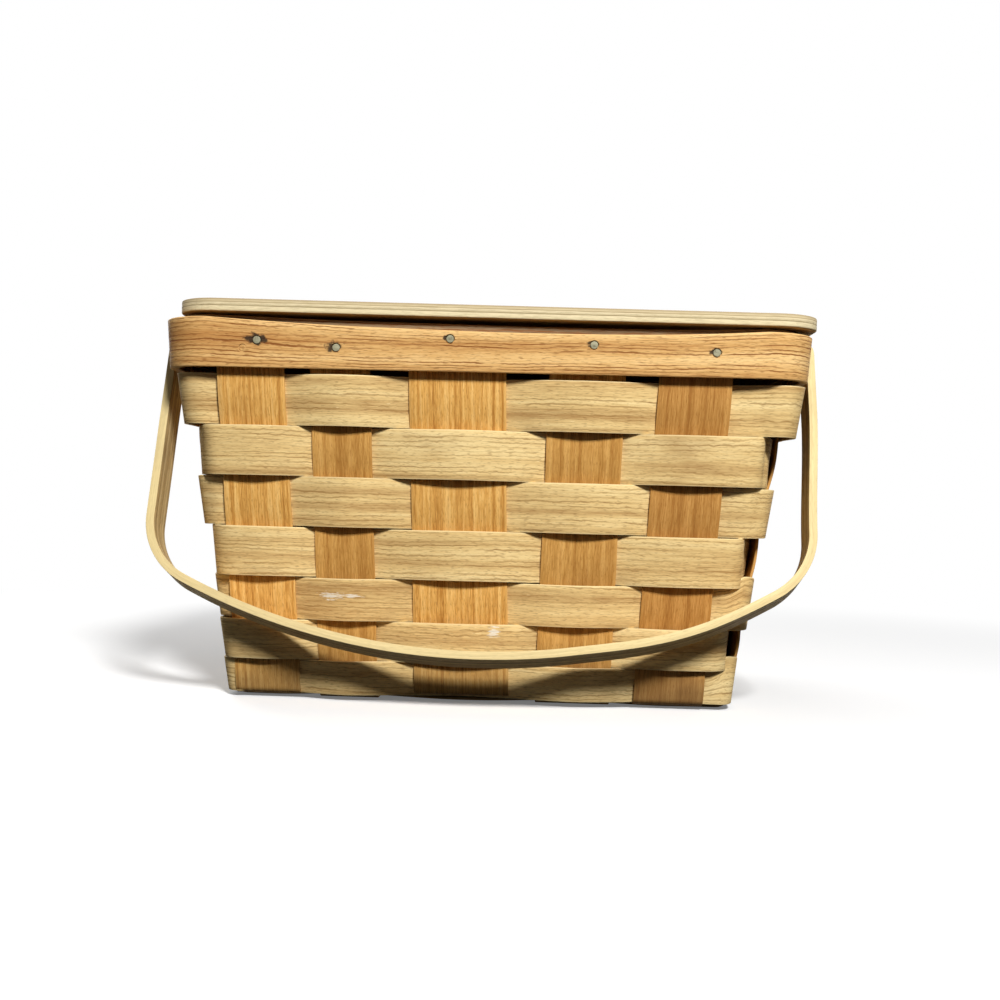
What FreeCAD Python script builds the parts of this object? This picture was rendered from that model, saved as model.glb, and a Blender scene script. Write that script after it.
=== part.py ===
import FreeCAD, Part
import math
import os
import Sketcher

# Lidded splint basket: a plain-woven body, two bent rims, a board lid on two butt hinges
# and two swing handles. Millimetres, +Z up, front towards -Y, origin on the floor under the middle.

Vector = FreeCAD.Vector
doc = FreeCAD.newDocument("lidded_basket")

driving_sizes = {
    # rims
    "rim_length": 354,
    "rim_depth": 239,
    "rim_height": 27,
    "rim_thickness": 5,
    "rim_corner_radius": 25.5,
    "rim_sag": 5,
    "inner_rim_thickness": 4,
    "inner_rim_lift": 3.6,
    "inner_rim_rise": 2.2,
    "inner_rim_sag": 2.8,
    # woven body
    "base_length": 286.6,
    "base_depth": 171.6,
    "base_corner_radius": 5,
    "weave_start": 3.9,
    "fold_reach": 2,
    "narrow_row_height": 21.9,
    "wide_row_height": 27.7,
    "row_gap": 0.8,
    "rim_gap": 3,
    "strip_thickness": 1.4,
    "strip_clearance": 0.3,
    "cross_stake_width": 40,
    "length_stake_width": 40,
    "stake_end_drop": 7.4,
    # rim nails
    "nail_shank_diameter": 1.8,
    "nail_head_diameter": 5.4,
    "nail_head_thickness": 0.9,
    "nail_hole_clearance": 0.1,
    "nail_point_inset": 0.5,
    # lid board
    "lid_length": 352,
    "lid_thickness": 7,
    "lid_corner_radius": 24,
    "lid_shift": 5,
    "lid_front_setback": 1,
    "lid_back_overhang": 12.5,
    "lid_gap": 0.3,
    # hinges
    "hinge_width": 30,
    "hinge_leaf_thickness": 1.2,
    "hinge_rim_leaf_height": 18,
    "hinge_lid_leaf_reach": 9,
    "hinge_knuckle_diameter": 4.8,
    "hinge_pin_diameter": 2,
    "hinge_gap": 0.3,
    "hinge_pin_clearance": 0.1,
    "hinge_pin_end": 0.6,
    "screw_shank_diameter": 1.8,
    "screw_head_diameter": 3.4,
    "screw_head_thickness": 0.7,
    "screw_length": 4,
    "screw_spacing": 17,
    "screw_hole_clearance": 0.1,
    # handles and their pivots
    "handle_width": 22,
    "handle_thickness": 4.5,
    "handle_length": 180,
    "handle_corner_radius": 42,
    "handle_bow_radius": 365,
    "handle_end_reach": 11.5,
    "handle_gap": 0.3,
    "handle_rest_gap": 0.5,
    "pivot_spread": 116,
    "pivot_hole_clearance": 0.1,
    "rivet_diameter": 5,
    "rivet_head_diameter": 12,
    "rivet_head_height": 2.2,
    "rivet_tail_height": 1.2,
    "rivet_tail_diameter": 8,
    "spacer_thickness": 4.7,
    "spacer_diameter": 18,
    "burr_diameter": 12,
    "burr_thickness": 1.2,
    # one overrun for all cuts
    "cut_overrun": 2,
}
# Two places closer than this are one
same_place = 1e-6

# Shares: where the upright strips stand, at the base and at the rim, of the half length or depth there
cross_base_shares = (-0.834, -0.516, -0.070, 0.366, 0.740)
cross_rim_shares = (-0.750, -0.462, -0.088, 0.325, 0.667)
cross_width_shares = (0.925, 0.825, 1.325, 1.04, 0.98)
length_base_shares = (-0.652, 0, 0.652)
length_rim_shares = (-0.511, 0, 0.511)
length_width_shares = (1, 1, 1)
# Each front nail stands off the middle of its strip by a share of the strip's width, and up the rim's height
nail_offset_shares = (0.13, -0.04, -0.07, 0.07, 0.25)
nail_height_shares = (0.54, 0.42, 0.64, 0.58, 0.48)
# An upright strip bows past each row by this share of the row's height
strip_bow_share = 0.062
# The handle's leg end is rounded by this share of its width
handle_end_round_share = 0.48

sheet = doc.addObject("Spreadsheet::Sheet", "Sizes")
for line, (alias, amount) in enumerate(driving_sizes.items(), start=1):
    sheet.set(f"A{line}", alias)
    sheet.set(f"B{line}", str(amount))
    sheet.setAlias(f"B{line}", alias)
doc.recompute()


def size(alias):
    return float(sheet.get(alias))


# Heights and half sizes that several pieces share, as numbers and as bound expressions
weave_height_text = "(3 * Sizes.narrow_row_height + 4 * Sizes.wide_row_height)"
rim_bottom_text = f"(Sizes.weave_start + {weave_height_text} + Sizes.rim_gap)"
rim_top_text = f"({rim_bottom_text} + Sizes.rim_height)"
lid_bottom_text = f"({rim_top_text} + Sizes.inner_rim_rise + Sizes.lid_gap)"
rim_half_gap_text = "(Sizes.strip_thickness / 2 + Sizes.strip_clearance)"
strip_half_length_text = f"(Sizes.rim_length / 2 - Sizes.rim_thickness - {rim_half_gap_text})"
inner_rim_inset_text = f"(Sizes.rim_thickness + 2 * {rim_half_gap_text})"
pivot_height_text = f"({rim_bottom_text} + Sizes.rim_height / 2)"

row_heights = [size("narrow_row_height")] * 3 + [size("wide_row_height")] * 4
row_count = len(row_heights)
row_levels = [size("weave_start")]
for row_height in row_heights:
    row_levels.append(row_levels[-1] + row_height)
rim_bottom = row_levels[-1] + size("rim_gap")
rim_top = rim_bottom + size("rim_height")
pivot_height = rim_bottom + size("rim_height") / 2
rim_half_gap = size("strip_thickness") / 2 + size("strip_clearance")
weaver_offset = size("strip_thickness") + size("strip_clearance")
rim_half_sizes = {
    "length": size("rim_length") / 2 - size("rim_thickness") - rim_half_gap,
    "depth": size("rim_depth") / 2 - size("rim_thickness") - rim_half_gap,
}
base_half_sizes = {"length": size("base_length") / 2, "depth": size("base_depth") / 2}
rim_strip_radius = size("rim_corner_radius") - size("rim_thickness") - rim_half_gap


def between(low, high, z):
    return low + (high - low) * (z - size("weave_start")) / (rim_bottom - size("weave_start"))


def wall_half(side, z):
    # the wall leans out up to the rim and stands straight in it
    return between(base_half_sizes[side], rim_half_sizes[side], min(z, rim_bottom))


def corner_radius(z):
    return between(size("base_corner_radius"), rim_strip_radius, z)


# Upright strips: those across the depth show on the front and back, those along the length on the ends
class Stakes:
    def __init__(self, spread, base_shares, rim_shares, width_shares, width):
        self.spread = spread
        self.base_shares = base_shares
        self.rim_shares = rim_shares
        self.widths = [share * width for share in width_shares]

    def middle(self, index, z):
        low = self.base_shares[index] * base_half_sizes[self.spread]
        high = self.rim_shares[index] * rim_half_sizes[self.spread]
        return between(low, high, z)

    def edges(self, index, z):
        reach = self.widths[index] / 2 + size("strip_clearance")
        return self.middle(index, z) - reach, self.middle(index, z) + reach

    def __len__(self):
        return len(self.widths)


cross_stakes = Stakes(
    "length", cross_base_shares, cross_rim_shares, cross_width_shares, size("cross_stake_width")
)
length_stakes = Stakes(
    "depth", length_base_shares, length_rim_shares, length_width_shares, size("length_stake_width")
)


def cross_outside(index, row):
    return (row + index) % 2 == 0


def length_outside(index, row):
    return (row + index) % 2 == 1


def chord_side(start, end):
    # unit vector to the right of the chord, and the chord's length
    run = (end[0] - start[0], end[1] - start[1])
    length = math.hypot(*run)
    return (run[1] / length, -run[0] / length), length


def turned(vector, angle):
    cosine, sine = math.cos(angle), math.sin(angle)
    return (vector[0] * cosine - vector[1] * sine, vector[0] * sine + vector[1] * cosine)


def strip_edge(points, bows, shift, closed):
    # a line of straight and bowed segments moved sideways; a bow is the rise of an arc to the right
    count = len(bows)
    start_normals, end_normals, middles = [], [], []
    for index, bow in enumerate(bows):
        start = points[index]
        end = points[(index + 1) % len(points)]
        normal, length = chord_side(start, end)
        half_turn = 2 * math.atan2(2 * bow, length)
        start_normals.append(turned(normal, -half_turn))
        end_normals.append(turned(normal, half_turn))
        reach = bow + shift
        middles.append(tuple((start[axis] + end[axis]) / 2 + reach * normal[axis] for axis in (0, 1)))
    moved = []
    for index, point in enumerate(points):
        before = end_normals[index - 1] if closed or index > 0 else start_normals[index]
        after = start_normals[index] if index < count else end_normals[index - 1]
        spread = 1 + before[0] * after[0] + before[1] * after[1]
        moved.append(tuple(point[axis] + shift * (before[axis] + after[axis]) / spread for axis in (0, 1)))
    return moved, middles


def edge_run(moved, middles, bows, place):
    edges = []
    for index, bow in enumerate(bows):
        start = place(moved[index])
        end = place(moved[(index + 1) % len(moved)])
        if bow == 0:
            edges.append(Part.LineSegment(start, end).toShape())
        else:
            edges.append(Part.Arc(start, place(middles[index]), end).toShape())
    return edges


def weaver_side(stakes, outside, side, row, z):
    # points (along, out) of one wall of a weaver: flat behind or before each upright strip
    points = []
    for index in range(len(stakes)):
        offset = -weaver_offset if outside(index, row) else weaver_offset
        for along in stakes.edges(index, z):
            points.append((along, wall_half(side, z) + offset))
    return points


def weaver_loop(row, z):
    front = weaver_side(cross_stakes, cross_outside, "depth", row, z)
    right = weaver_side(length_stakes, length_outside, "length", row, z)
    walls = [
        [(along, -out) for along, out in front],
        [(out, along) for along, out in right],
        [(along, out) for along, out in reversed(front)],
        [(-out, along) for along, out in reversed(right)],
    ]
    radius = corner_radius(z)
    quarter_bow = radius * (1 - math.cos(math.pi / 4))
    points, bows = [], []
    for index, wall in enumerate(walls):
        following = walls[(index + 1) % len(walls)]
        upright = index % 2 == 1
        corner = (wall[-1][0], following[0][1]) if upright else (following[0][0], wall[-1][1])
        run_in, _ = chord_side(wall[-2], wall[-1])
        into = (-run_in[1], run_in[0])
        run_out, _ = chord_side(following[0], following[1])
        out_of = (-run_out[1], run_out[0])
        ends = wall[1:-1]
        points += ends
        bows += [0] * len(ends)
        points.append(tuple(corner[axis] - radius * into[axis] for axis in (0, 1)))
        bows.append(quarter_bow)
        points.append(tuple(corner[axis] + radius * out_of[axis] for axis in (0, 1)))
        bows.append(0)
    return points, bows


def weaver_envelope(row, low, high, shift):
    wires = []
    for z in (low, high):
        points, bows = weaver_loop(row, z)
        moved, middles = strip_edge(points, bows, shift, True)
        wires.append(Part.Wire(edge_run(moved, middles, bows, lambda point: Vector(*point, z))))
    return Part.makeLoft(wires, True, True)


def weaver_shape(row):
    low = row_levels[row] + size("row_gap") / 2
    high = row_levels[row + 1] - size("row_gap") / 2
    half = size("strip_thickness") / 2
    return weaver_envelope(row, low, high, half).cut(weaver_envelope(row, low, high, -half))


def stake_line(side, outside, index, crossing_stakes, above):
    # one half of an upright strip, from the middle of the base up to its end in the rim: points (out, z)
    half = size("strip_thickness") / 2
    low = half
    high = half + size("strip_thickness") + size("strip_clearance")
    points, bows = [], []
    base = size("weave_start")
    for crossing in range(len(crossing_stakes)):
        level = high if above(crossing) else low
        for along in crossing_stakes.edges(crossing, base):
            points.append((along, level))
            bows.append(0)
    # the fold at the wall's foot stays off the floor where the strip next rises over a crossing one
    fold_level = size("strip_thickness") if level > low else low
    points.append((wall_half(side, base) - size("fold_reach"), fold_level))
    bows.append(0)
    points.append((wall_half(side, base), base))
    for row, row_height in enumerate(row_heights):
        rise = strip_bow_share * row_height
        bows.append(rise if outside(index, row) else -rise)
        points.append((wall_half(side, row_levels[row + 1]), row_levels[row + 1]))
    for z in (rim_bottom, rim_top - size("stake_end_drop")):
        bows.append(0)
        points.append((wall_half(side, z), z))
    return points, bows


def stake_shape(stakes, side, outside, index, crossing_stakes, above, to_space, width_way):
    rising, rising_bows = stake_line(side, outside, index, crossing_stakes, above)
    base_count = 2 * len(crossing_stakes)
    falling = [(-out, z) for out, z in reversed(rising[base_count:])]
    points = falling + rising
    bows = list(reversed(rising_bows[base_count:])) + [0] + rising_bows
    half = size("strip_thickness") / 2

    def place(point):
        return to_space(stakes.middle(index, point[1]) - stakes.widths[index] / 2, point)

    outer, outer_middles = strip_edge(points, bows, half, False)
    inner, inner_middles = strip_edge(points, bows, -half, False)
    edges = edge_run(outer, outer_middles, bows, place)
    edges.append(Part.LineSegment(place(outer[-1]), place(inner[-1])).toShape())
    edges += reversed(edge_run(inner, inner_middles, bows, place))
    edges.append(Part.LineSegment(place(inner[0]), place(outer[0])).toShape())
    return Part.Face(Part.Wire(edges)).extrude(width_way * stakes.widths[index])


nodes = []


def keep(piece, name):
    piece.Label = name
    nodes.append(piece)
    return piece


def solid_piece(shape, name):
    piece = doc.addObject("Part::Feature", name)
    piece.Shape = shape
    piece.Placement = FreeCAD.Placement()
    return keep(piece, name)


# Holes through the strips where nails and pivot rivets pass
nail_hole_radius = size("nail_shank_diameter") / 2 + size("nail_hole_clearance")
pivot_hole_radius = size("rivet_diameter") / 2 + size("pivot_hole_clearance")
across_length = Vector(1, 0, 0)
across_depth = Vector(0, 1, 0)
nail_heights = [rim_bottom + share * size("rim_height") for share in nail_height_shares]


def nail_place(index, side):
    # the front's nails wander across their strips, the back's keep to the middle
    offset = nail_offset_shares[index] * cross_stakes.widths[index] if side < 0 else 0
    return cross_stakes.middle(index, rim_bottom) + offset


def outward_hole(radius, point, way, reach):
    return Part.makeCylinder(radius, reach, point, way)


for row in range(row_count):
    solid_piece(weaver_shape(row), f"weaver_{row_count - row}")

for index in range(len(cross_stakes)):
    strip = stake_shape(
        cross_stakes, "depth", cross_outside, index, length_stakes,
        lambda crossing: (index + crossing) % 2 == 0,
        lambda along, point: Vector(along, *point), across_length,
    )
    for side in (-1, 1):
        hole_point = Vector(nail_place(index, side), 0, nail_heights[index])
        strip = strip.cut(outward_hole(nail_hole_radius, hole_point, across_depth * side, size("rim_depth")))
    solid_piece(strip, f"cross_stake_{index + 1}")

for index in range(len(length_stakes)):
    strip = stake_shape(
        length_stakes, "length", length_outside, index, cross_stakes,
        lambda crossing: (index + crossing) % 2 == 1,
        lambda along, point: Vector(point[0], along, point[1]), across_depth,
    )
    pivot_side = index - 1
    hole_point = Vector(0, pivot_side * size("pivot_spread") / 2, pivot_height)
    hole_radius = pivot_hole_radius if pivot_side else nail_hole_radius
    for side in (-1, 1):
        strip = strip.cut(outward_hole(hole_radius, hole_point, across_length * side, size("rim_length")))
    solid_piece(strip, f"length_stake_{index + 1}")


def bind(piece, **sizes):
    for name, text in sizes.items():
        piece.setExpression(name, text)
    return piece


def place_at(piece, x="0", y="0", z="0"):
    for axis, text in zip("xyz", (x, y, z)):
        piece.setExpression(f"Placement.Base.{axis}", text)
    return piece


def new_body(name):
    return doc.addObject("PartDesign::Body", name)


def new_sketch(body, name, plane):
    sketch = body.newObject("Sketcher::SketchObject", name)
    support = [part for part in body.Origin.OriginFeatures if part.Role == plane][0]
    sketch.AttachmentSupport = [(support, "")]
    sketch.MapMode = "FlatFace"
    return sketch


def name_size(sketch, constraint, name, text):
    number = sketch.addConstraint(constraint)
    sketch.renameConstraint(number, name)
    sketch.setExpression(f"Constraints.{name}", text)


def rounded_loop(sketch, name, half_length, half_depth, radius, texts):
    # a rectangle with round corners about the sketch's origin; texts bind its length, depth and radius
    first = sketch.GeometryCount
    inner_x, inner_y = half_length - radius, half_depth - radius
    sides = [
        (Vector(-inner_x, -half_depth), Vector(inner_x, -half_depth)),
        (Vector(half_length, -inner_y), Vector(half_length, inner_y)),
        (Vector(inner_x, half_depth), Vector(-inner_x, half_depth)),
        (Vector(-half_length, inner_y), Vector(-half_length, -inner_y)),
    ]
    centres = [
        Vector(inner_x, -inner_y), Vector(inner_x, inner_y),
        Vector(-inner_x, inner_y), Vector(-inner_x, -inner_y),
    ]
    for index in range(4):
        sketch.addGeometry(Part.LineSegment(*sides[index]), False)
        circle = Part.Circle(centres[index], Vector(0, 0, 1), radius)
        start = math.radians(90 * index - 90)
        sketch.addGeometry(Part.ArcOfCircle(circle, start, start + math.pi / 2), False)
    for index in range(4):
        line = first + 2 * index
        arc = line + 1
        following = first + (2 * index + 2) % 8
        sketch.addConstraint(Sketcher.Constraint("Tangent", line, 2, arc, 1))
        sketch.addConstraint(Sketcher.Constraint("Tangent", arc, 2, following, 1))
    sketch.addConstraint(Sketcher.Constraint("Horizontal", first))
    sketch.addConstraint(Sketcher.Constraint("Vertical", first + 2))
    for index in range(1, 4):
        sketch.addConstraint(Sketcher.Constraint("Equal", first + 1, first + 1 + 2 * index))
    sketch.addConstraint(Sketcher.Constraint("Symmetric", first + 1, 3, first + 5, 3, -1, 1))
    distances = (
        ("DistanceY", first, 1, first + 4, 1, 2 * half_depth, "depth"),
        ("DistanceX", first + 6, 1, first + 2, 1, 2 * half_length, "length"),
    )
    for kind, low, low_end, high, high_end, amount, key in distances:
        constraint = Sketcher.Constraint(kind, low, low_end, high, high_end, amount)
        name_size(sketch, constraint, f"{name}_{key}", texts[key])
    constraint = Sketcher.Constraint("Radius", first + 1, radius)
    name_size(sketch, constraint, f"{name}_radius", texts["radius"])


def hole_circle(sketch, name, place, radius, texts):
    # a round hole whose place from the sketch's origin and radius are bound
    circle = sketch.addGeometry(Part.Circle(Vector(*place), Vector(0, 0, 1), radius), False)
    for kind, amount, key in (("DistanceX", place[0], "x"), ("DistanceY", place[1], "y")):
        constraint = Sketcher.Constraint(kind, -1, 1, circle, 3, amount)
        name_size(sketch, constraint, f"{name}_{key}", texts[key])
    name_size(sketch, Sketcher.Constraint("Radius", circle, radius), f"{name}_radius", texts["radius"])


def padded(body, sketch, name, length_text, midplane=False):
    pad = body.newObject("PartDesign::Pad", name)
    pad.Profile = sketch
    pad.Midplane = midplane
    bind(pad, Length=length_text)
    doc.recompute()
    return pad


def pocketed(body, sketch, name, both_ways, reverse=False):
    # a cut through all; the volume is compared, because a cut that misses shows no error
    volume = body.Shape.Volume
    pocket = body.newObject("PartDesign::Pocket", name)
    pocket.Profile = sketch
    pocket.Type = "ThroughAll"
    pocket.Midplane = both_ways
    pocket.Reversed = reverse
    doc.recompute()
    if not body.Shape.Volume < volume:
        raise RuntimeError(f"{name} cuts nothing")
    return pocket


# Rims: bent hoops on both sides of the strips' ends, with a sagging top edge along the front
nail_hole_text = "(Sizes.nail_shank_diameter / 2 + Sizes.nail_hole_clearance)"
pivot_hole_text = "(Sizes.rivet_diameter / 2 + Sizes.pivot_hole_clearance)"
screw_hole_text = "(Sizes.screw_shank_diameter / 2 + Sizes.screw_hole_clearance)"


def strip_middle_text(index):
    return f"{cross_rim_shares[index]} * {strip_half_length_text}"


def nail_place_text(index, side):
    width_text = f"{cross_width_shares[index]} * Sizes.cross_stake_width"
    offset_text = f" + {nail_offset_shares[index]} * {width_text}" if side < 0 else ""
    return strip_middle_text(index) + offset_text


def nail_height_text(index):
    return f"({nail_height_shares[index]} * Sizes.rim_height)"


def rim_holes(body, name, lift, lift_text):
    # nail holes through the front, then the back, then nail and pivot holes through the ends
    for side_name, side in (("front", -1), ("back", 1)):
        face = new_sketch(body, f"{name}_{side_name}_nail_holes", "XZ_Plane")
        for index in range(len(cross_stakes)):
            place = (nail_place(index, side), nail_heights[index] - rim_bottom - lift)
            texts = {
                "x": nail_place_text(index, side),
                "y": f"{nail_height_text(index)} - {lift_text}",
                "radius": nail_hole_text,
            }
            hole_circle(face, f"nail_{index + 1}", place, nail_hole_radius, texts)
        pocketed(body, face, f"{name}_{side_name}_nail_cut", False, side < 0)
    ends = new_sketch(body, f"{name}_end_holes", "YZ_Plane")
    height = size("rim_height") / 2 - lift
    height_text = f"Sizes.rim_height / 2 - {lift_text}"
    for index, side in enumerate((-1, 0, 1)):
        radius = pivot_hole_radius if side else nail_hole_radius
        texts = {
            "x": f"{side} * Sizes.pivot_spread / 2",
            "y": height_text,
            "radius": pivot_hole_text if side else nail_hole_text,
        }
        hole_circle(ends, f"end_{index + 1}", (side * size("pivot_spread") / 2, height), radius, texts)
    pocketed(body, ends, f"{name}_end_cut", True)


def sagging_edge(body, name, height, height_text, half_width, half_width_text, sag, sag_text):
    # the front's top edge follows a shallow arc; the cut runs from the middle out through the front only
    sketch = new_sketch(body, f"{name}_sag", "XZ_Plane")
    radius = (half_width ** 2 + sag ** 2) / (2 * sag)
    angle = math.asin(half_width / radius)
    circle = Part.Circle(Vector(0, height - sag + radius), Vector(0, 0, 1), radius)
    arc = sketch.addGeometry(Part.ArcOfCircle(circle, -math.pi / 2 - angle, -math.pi / 2 + angle), False)
    top = Part.LineSegment(Vector(half_width, height), Vector(-half_width, height))
    line = sketch.addGeometry(top, False)
    sketch.addConstraint(Sketcher.Constraint("Coincident", arc, 2, line, 1))
    sketch.addConstraint(Sketcher.Constraint("Coincident", arc, 1, line, 2))
    sketch.addConstraint(Sketcher.Constraint("Symmetric", line, 1, line, 2, -2))
    constraint = Sketcher.Constraint("DistanceX", -1, 1, line, 1, half_width)
    name_size(sketch, constraint, "half_width", half_width_text)
    constraint = Sketcher.Constraint("DistanceY", -1, 1, line, 1, height)
    name_size(sketch, constraint, "edge_height", height_text)
    constraint = Sketcher.Constraint("Radius", arc, radius)
    square_text = f"(({half_width_text}) * ({half_width_text}) + {sag_text} * {sag_text})"
    name_size(sketch, constraint, "sag_radius", f"{square_text} / (2 * {sag_text})")
    pocketed(body, sketch, f"{name}_sag_cut", False, True)


def hoop(name, inset, inset_text, thickness, thickness_text, height_text):
    # an upright band: an outer and an inner round-cornered loop, raised together
    body = new_body(name)
    sketch = new_sketch(body, f"{name}_plan", "XY_Plane")
    for loop, depth_in, text in (
        ("outer", inset, inset_text),
        ("inner", inset + thickness, f"({inset_text} + {thickness_text})"),
    ):
        rounded_loop(
            sketch, loop, size("rim_length") / 2 - depth_in, size("rim_depth") / 2 - depth_in,
            size("rim_corner_radius") - depth_in,
            {
                "length": f"Sizes.rim_length - 2 * {text}",
                "depth": f"Sizes.rim_depth - 2 * {text}",
                "radius": f"Sizes.rim_corner_radius - {text}",
            },
        )
    padded(body, sketch, f"{name}_band", height_text)
    return body


outer_rim = hoop("outer_rim", 0, "0", size("rim_thickness"), "Sizes.rim_thickness", "Sizes.rim_height")
rim_straight_half = size("rim_length") / 2 - size("rim_corner_radius")
rim_straight_text = "(Sizes.rim_length / 2 - Sizes.rim_corner_radius)"
rim_holes(outer_rim, "outer_rim", 0, "0")
sagging_edge(
    outer_rim, "outer_rim", size("rim_height"), "Sizes.rim_height",
    rim_straight_half, rim_straight_text, size("rim_sag"), "Sizes.rim_sag",
)

inner_rim_height = size("rim_height") - size("inner_rim_lift") + size("inner_rim_rise")
inner_rim_height_text = "(Sizes.rim_height - Sizes.inner_rim_lift + Sizes.inner_rim_rise)"
inner_rim = hoop(
    "inner_rim", size("rim_thickness") + 2 * rim_half_gap, inner_rim_inset_text,
    size("inner_rim_thickness"), "Sizes.inner_rim_thickness", inner_rim_height_text,
)
rim_holes(inner_rim, "inner_rim", size("inner_rim_lift"), "Sizes.inner_rim_lift")
sagging_edge(
    inner_rim, "inner_rim", inner_rim_height, inner_rim_height_text,
    rim_straight_half, rim_straight_text, size("inner_rim_sag"), "Sizes.inner_rim_sag",
)

# Hinges: the rim leaf lies on the rim's back face, the lid leaf under the lid's overhang
knuckle_radius_text = "(Sizes.hinge_knuckle_diameter / 2)"
hinge_y_text = f"(Sizes.rim_depth / 2 + {knuckle_radius_text})"
hinge_z_text = f"({lid_bottom_text} - {knuckle_radius_text})"
knuckle_length_text = "((Sizes.hinge_width - 2 * Sizes.hinge_gap) / 3)"
plate_top_text = f"({hinge_z_text} - {knuckle_radius_text} - Sizes.hinge_gap)"
plate_bottom_text = f"({hinge_z_text} - Sizes.hinge_rim_leaf_height)"
rim_screw_z_text = f"(({plate_top_text} + {plate_bottom_text}) / 2)"
lid_plate_start_text = f"({hinge_y_text} + {knuckle_radius_text} + Sizes.hinge_gap)"
lid_plate_end_text = f"({hinge_y_text} + Sizes.hinge_lid_leaf_reach)"
lid_screw_y_text = f"(({lid_plate_start_text} + {lid_plate_end_text}) / 2)"

knuckle_radius = size("hinge_knuckle_diameter") / 2
lid_bottom = rim_top + size("inner_rim_rise") + size("lid_gap")
hinge_y = size("rim_depth") / 2 + knuckle_radius
hinge_z = lid_bottom - knuckle_radius
rim_screw_z = hinge_z - (knuckle_radius + size("hinge_gap") + size("hinge_rim_leaf_height")) / 2
lid_screw_y = hinge_y + (knuckle_radius + size("hinge_gap") + size("hinge_lid_leaf_reach")) / 2
screw_hole_radius = size("screw_shank_diameter") / 2 + size("screw_hole_clearance")
# each hinge stands midway between an outermost strip and the next one, clear of their nails
hinge_strips = {"left": (0, 1), "right": (len(cross_stakes) - 2, len(cross_stakes) - 1)}
screw_sides = (-1, 1)


def hinge_x_text(strips):
    return f"(({strip_middle_text(strips[0])} + {strip_middle_text(strips[1])}) / 2)"


def screw_x(strips, screw_side):
    middle = (nail_place(strips[0], 1) + nail_place(strips[1], 1)) / 2
    return middle + screw_side * size("screw_spacing") / 2


def screw_x_text(strips, screw_side):
    return f"({hinge_x_text(strips)} + {screw_side} * Sizes.screw_spacing / 2)"


screw_pairs = [(strips, side) for strips in hinge_strips.values() for side in screw_sides]

pilots = new_sketch(outer_rim, "outer_rim_screw_holes", "XZ_Plane")
for number, pair in enumerate(screw_pairs, start=1):
    hole_texts = {
        "x": screw_x_text(*pair),
        "y": f"{rim_screw_z_text} - {rim_bottom_text}",
        "radius": screw_hole_text,
    }
    hole_circle(
        pilots, f"screw_{number}", (screw_x(*pair), rim_screw_z - rim_bottom), screw_hole_radius, hole_texts
    )
pocketed(outer_rim, pilots, "outer_rim_screw_cut", False)

place_at(keep(outer_rim, "outer_rim"), z=rim_bottom_text)
place_at(keep(inner_rim, "inner_rim"), z=f"{rim_bottom_text} + Sizes.inner_rim_lift")

# Lid: one board with round corners, set a little to the right of the rim and overhanging the back
lid_depth = size("rim_depth") - size("lid_front_setback") + size("lid_back_overhang")
lid_depth_text = "(Sizes.rim_depth - Sizes.lid_front_setback + Sizes.lid_back_overhang)"
lid_y_text = "((Sizes.lid_front_setback + Sizes.lid_back_overhang) / 2)"
lid_y = (size("lid_front_setback") + size("lid_back_overhang")) / 2
lid_board = new_body("lid_board")
lid_plan = new_sketch(lid_board, "lid_plan", "XY_Plane")
rounded_loop(
    lid_plan, "board", size("lid_length") / 2, lid_depth / 2, size("lid_corner_radius"),
    {"length": "Sizes.lid_length", "depth": lid_depth_text, "radius": "Sizes.lid_corner_radius"},
)
padded(lid_board, lid_plan, "lid_thickness", "Sizes.lid_thickness")
lid_pilots = new_sketch(lid_board, "lid_screw_holes", "XY_Plane")
for number, pair in enumerate(screw_pairs, start=1):
    hole_texts = {
        "x": f"{screw_x_text(*pair)} - Sizes.lid_shift",
        "y": f"{lid_screw_y_text} - {lid_y_text}",
        "radius": screw_hole_text,
    }
    hole_place = (screw_x(*pair) - size("lid_shift"), lid_screw_y - lid_y)
    hole_circle(lid_pilots, f"screw_{number}", hole_place, screw_hole_radius, hole_texts)
board_volume = lid_board.Shape.Volume
lid_cut = lid_board.newObject("PartDesign::Pocket", "lid_screw_cut")
lid_cut.Profile = lid_pilots
lid_cut.Reversed = True
bind(lid_cut, Length="Sizes.screw_length")
doc.recompute()
if not lid_board.Shape.Volume < board_volume:
    raise RuntimeError("the lid's screw holes cut nothing")
place_at(keep(lid_board, "lid_board"), "Sizes.lid_shift", lid_y_text, lid_bottom_text)


def box(name, length, width, height, x, y, z):
    piece = doc.addObject("Part::Box", name)
    bind(piece, Length=length, Width=width, Height=height)
    return place_at(piece, x, y, z)


turns = {
    "x": FreeCAD.Rotation(Vector(0, 1, 0), 90),
    "y": FreeCAD.Rotation(Vector(1, 0, 0), -90),
    "z": FreeCAD.Rotation(),
}


def rod(name, way, radius, length, x, y, z):
    # a round bar that runs from its place along one axis
    piece = doc.addObject("Part::Cylinder", name)
    bind(piece, Radius=radius, Height=length)
    piece.Placement = FreeCAD.Placement(Vector(), turns[way])
    return place_at(piece, x, y, z)


def joined(name, pieces):
    piece = doc.addObject("Part::MultiFuse", name)
    piece.Shapes = pieces
    return piece


def drilled(name, piece, tools):
    cut = doc.addObject("Part::Cut", name)
    cut.Base = piece
    cut.Tool = tools[0] if len(tools) == 1 else joined(f"{name}_tools", tools)
    return cut


def group(name, pieces):
    piece = doc.addObject("Part::Compound", name)
    piece.Links = pieces
    return keep(piece, name)


pin_bore_text = "(Sizes.hinge_pin_diameter / 2 + Sizes.hinge_pin_clearance)"
screw_head_bore_text = "(Sizes.screw_head_diameter / 2 + Sizes.screw_hole_clearance)"
leaf_text = "Sizes.hinge_leaf_thickness"


def knuckle_start_text(strips, number):
    first = f"{hinge_x_text(strips)} - Sizes.hinge_width / 2"
    return f"({first} + {number} * ({knuckle_length_text} + Sizes.hinge_gap))"


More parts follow.
